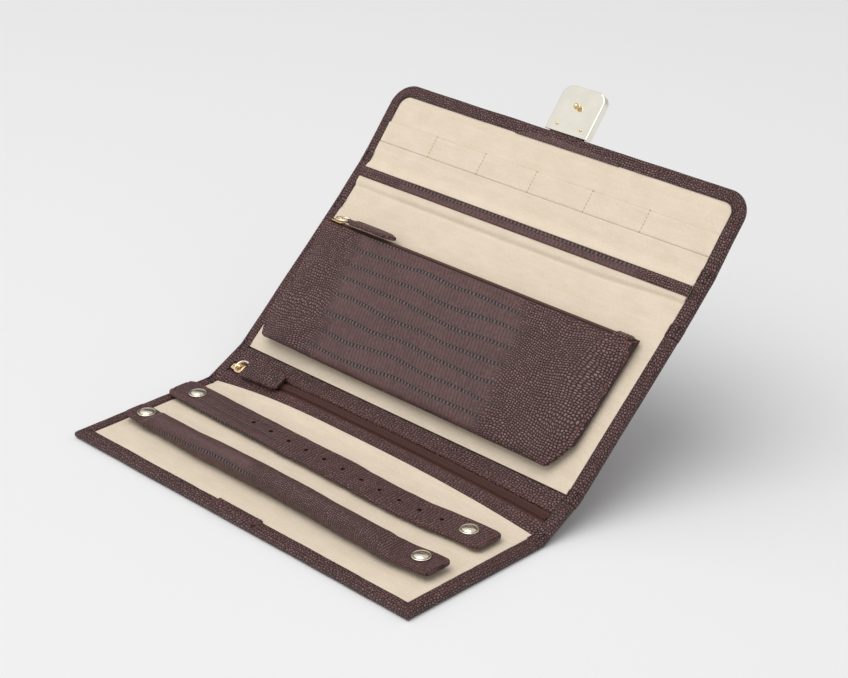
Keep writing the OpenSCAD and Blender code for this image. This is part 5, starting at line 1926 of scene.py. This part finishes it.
def floorPiece():
    mesh = bpy.data.meshes.new("floor")
    mesh.from_pydata([(-4, -4, 0), (4, -4, 0), (4, 4, 0), (-4, 4, 0)], [], [(0, 1, 2, 3)])
    floor = bpy.data.objects.new("floor", mesh)
    bpy.context.scene.collection.objects.link(floor)
    material, n, shader = newMaterial("paleTable")
    grain = n.noise(objectVector(n, 1.0), 3.0, 2.0)
    n.link(n.shades(grain.outputs["Fac"], setLook["floor"], 1, 0.985), shader.inputs["Base Color"])
    shader.inputs["Roughness"].default_value = 0.7
    shader.inputs["Specular IOR Level"].default_value = 0.2
    mesh.materials.append(material)


floorPiece()
middle = Vector((0, 0.06, 0.04))
look = setLook["key"]
light = bpy.data.lights.new("key", "AREA")
light.shape, light.size, light.energy = "DISK", look["size"], look["power"]
lamp = bpy.data.objects.new("key", light)
lamp.location = look["place"]
lamp.rotation_euler = (Vector(look["place"]) - middle).to_track_quat("Z", "Y").to_euler()
bpy.context.scene.collection.objects.link(lamp)

world = bpy.data.worlds.new("studio")
bpy.context.scene.world = world
world.use_nodes = True
n = Nodes(world.node_tree)
background = world.node_tree.nodes["Background"]
where = n.add("ShaderNodeTexCoord")
split = n.add("ShaderNodeSeparateXYZ")
n.link(where.outputs["Generated"], split.inputs[0])
background.inputs["Color"].default_value = (1.0, 1.0, 1.0, 1.0)
lobes = []
for name in ("glow", "shade"):
    look = setLook[name]
    dot = n.add("ShaderNodeVectorMath", operation="DOT_PRODUCT")
    n.link(where.outputs["Generated"], dot.inputs[0])
    dot.inputs[1].default_value = Vector(look["toward"]).normalized()
    lobes.append(n.ramp(dot.outputs["Value"], look["from"], look["to"], 0.0, look["strength"]))
around = n.ramp(split.outputs[2], 0.05, 0.8, setLook["world"]["low"], setLook["world"]["high"])
bright = n.math("MAXIMUM", lobes[0], around)
n.link(n.times(bright, n.minus(1.0, lobes[1])), background.inputs["Strength"])

bpy.context.scene.view_settings.view_transform = "Standard"
cameraLook = {
    "place": (0.6932, -0.5996, 0.5182), "azimuth": 45.33, "elevation": 25.57, "roll": -0.24, "lens": 92.46,
}
az, el, roll0 = (math.radians(cameraLook[k]) for k in ("azimuth", "elevation", "roll"))
backward = Vector((math.sin(az) * math.cos(el), -math.cos(az) * math.cos(el), math.sin(el)))
level = Vector((math.cos(az), math.sin(az), 0))
upright = backward.cross(level)
right = level * math.cos(roll0) + upright * math.sin(roll0)
up = upright * math.cos(roll0) - level * math.sin(roll0)
camera = bpy.data.objects.new("camera", bpy.data.cameras.new("camera"))
camera.data.lens, camera.data.sensor_width = cameraLook["lens"], 36.0
camera.data.clip_start = 0.01
camera.matrix_world = Matrix((right, up, backward)).transposed().to_4x4()
camera.location = cameraLook["place"]
bpy.context.scene.collection.objects.link(camera)
bpy.context.scene.camera = camera
print("stage: camera and light set")

bpy.context.view_layer.update()
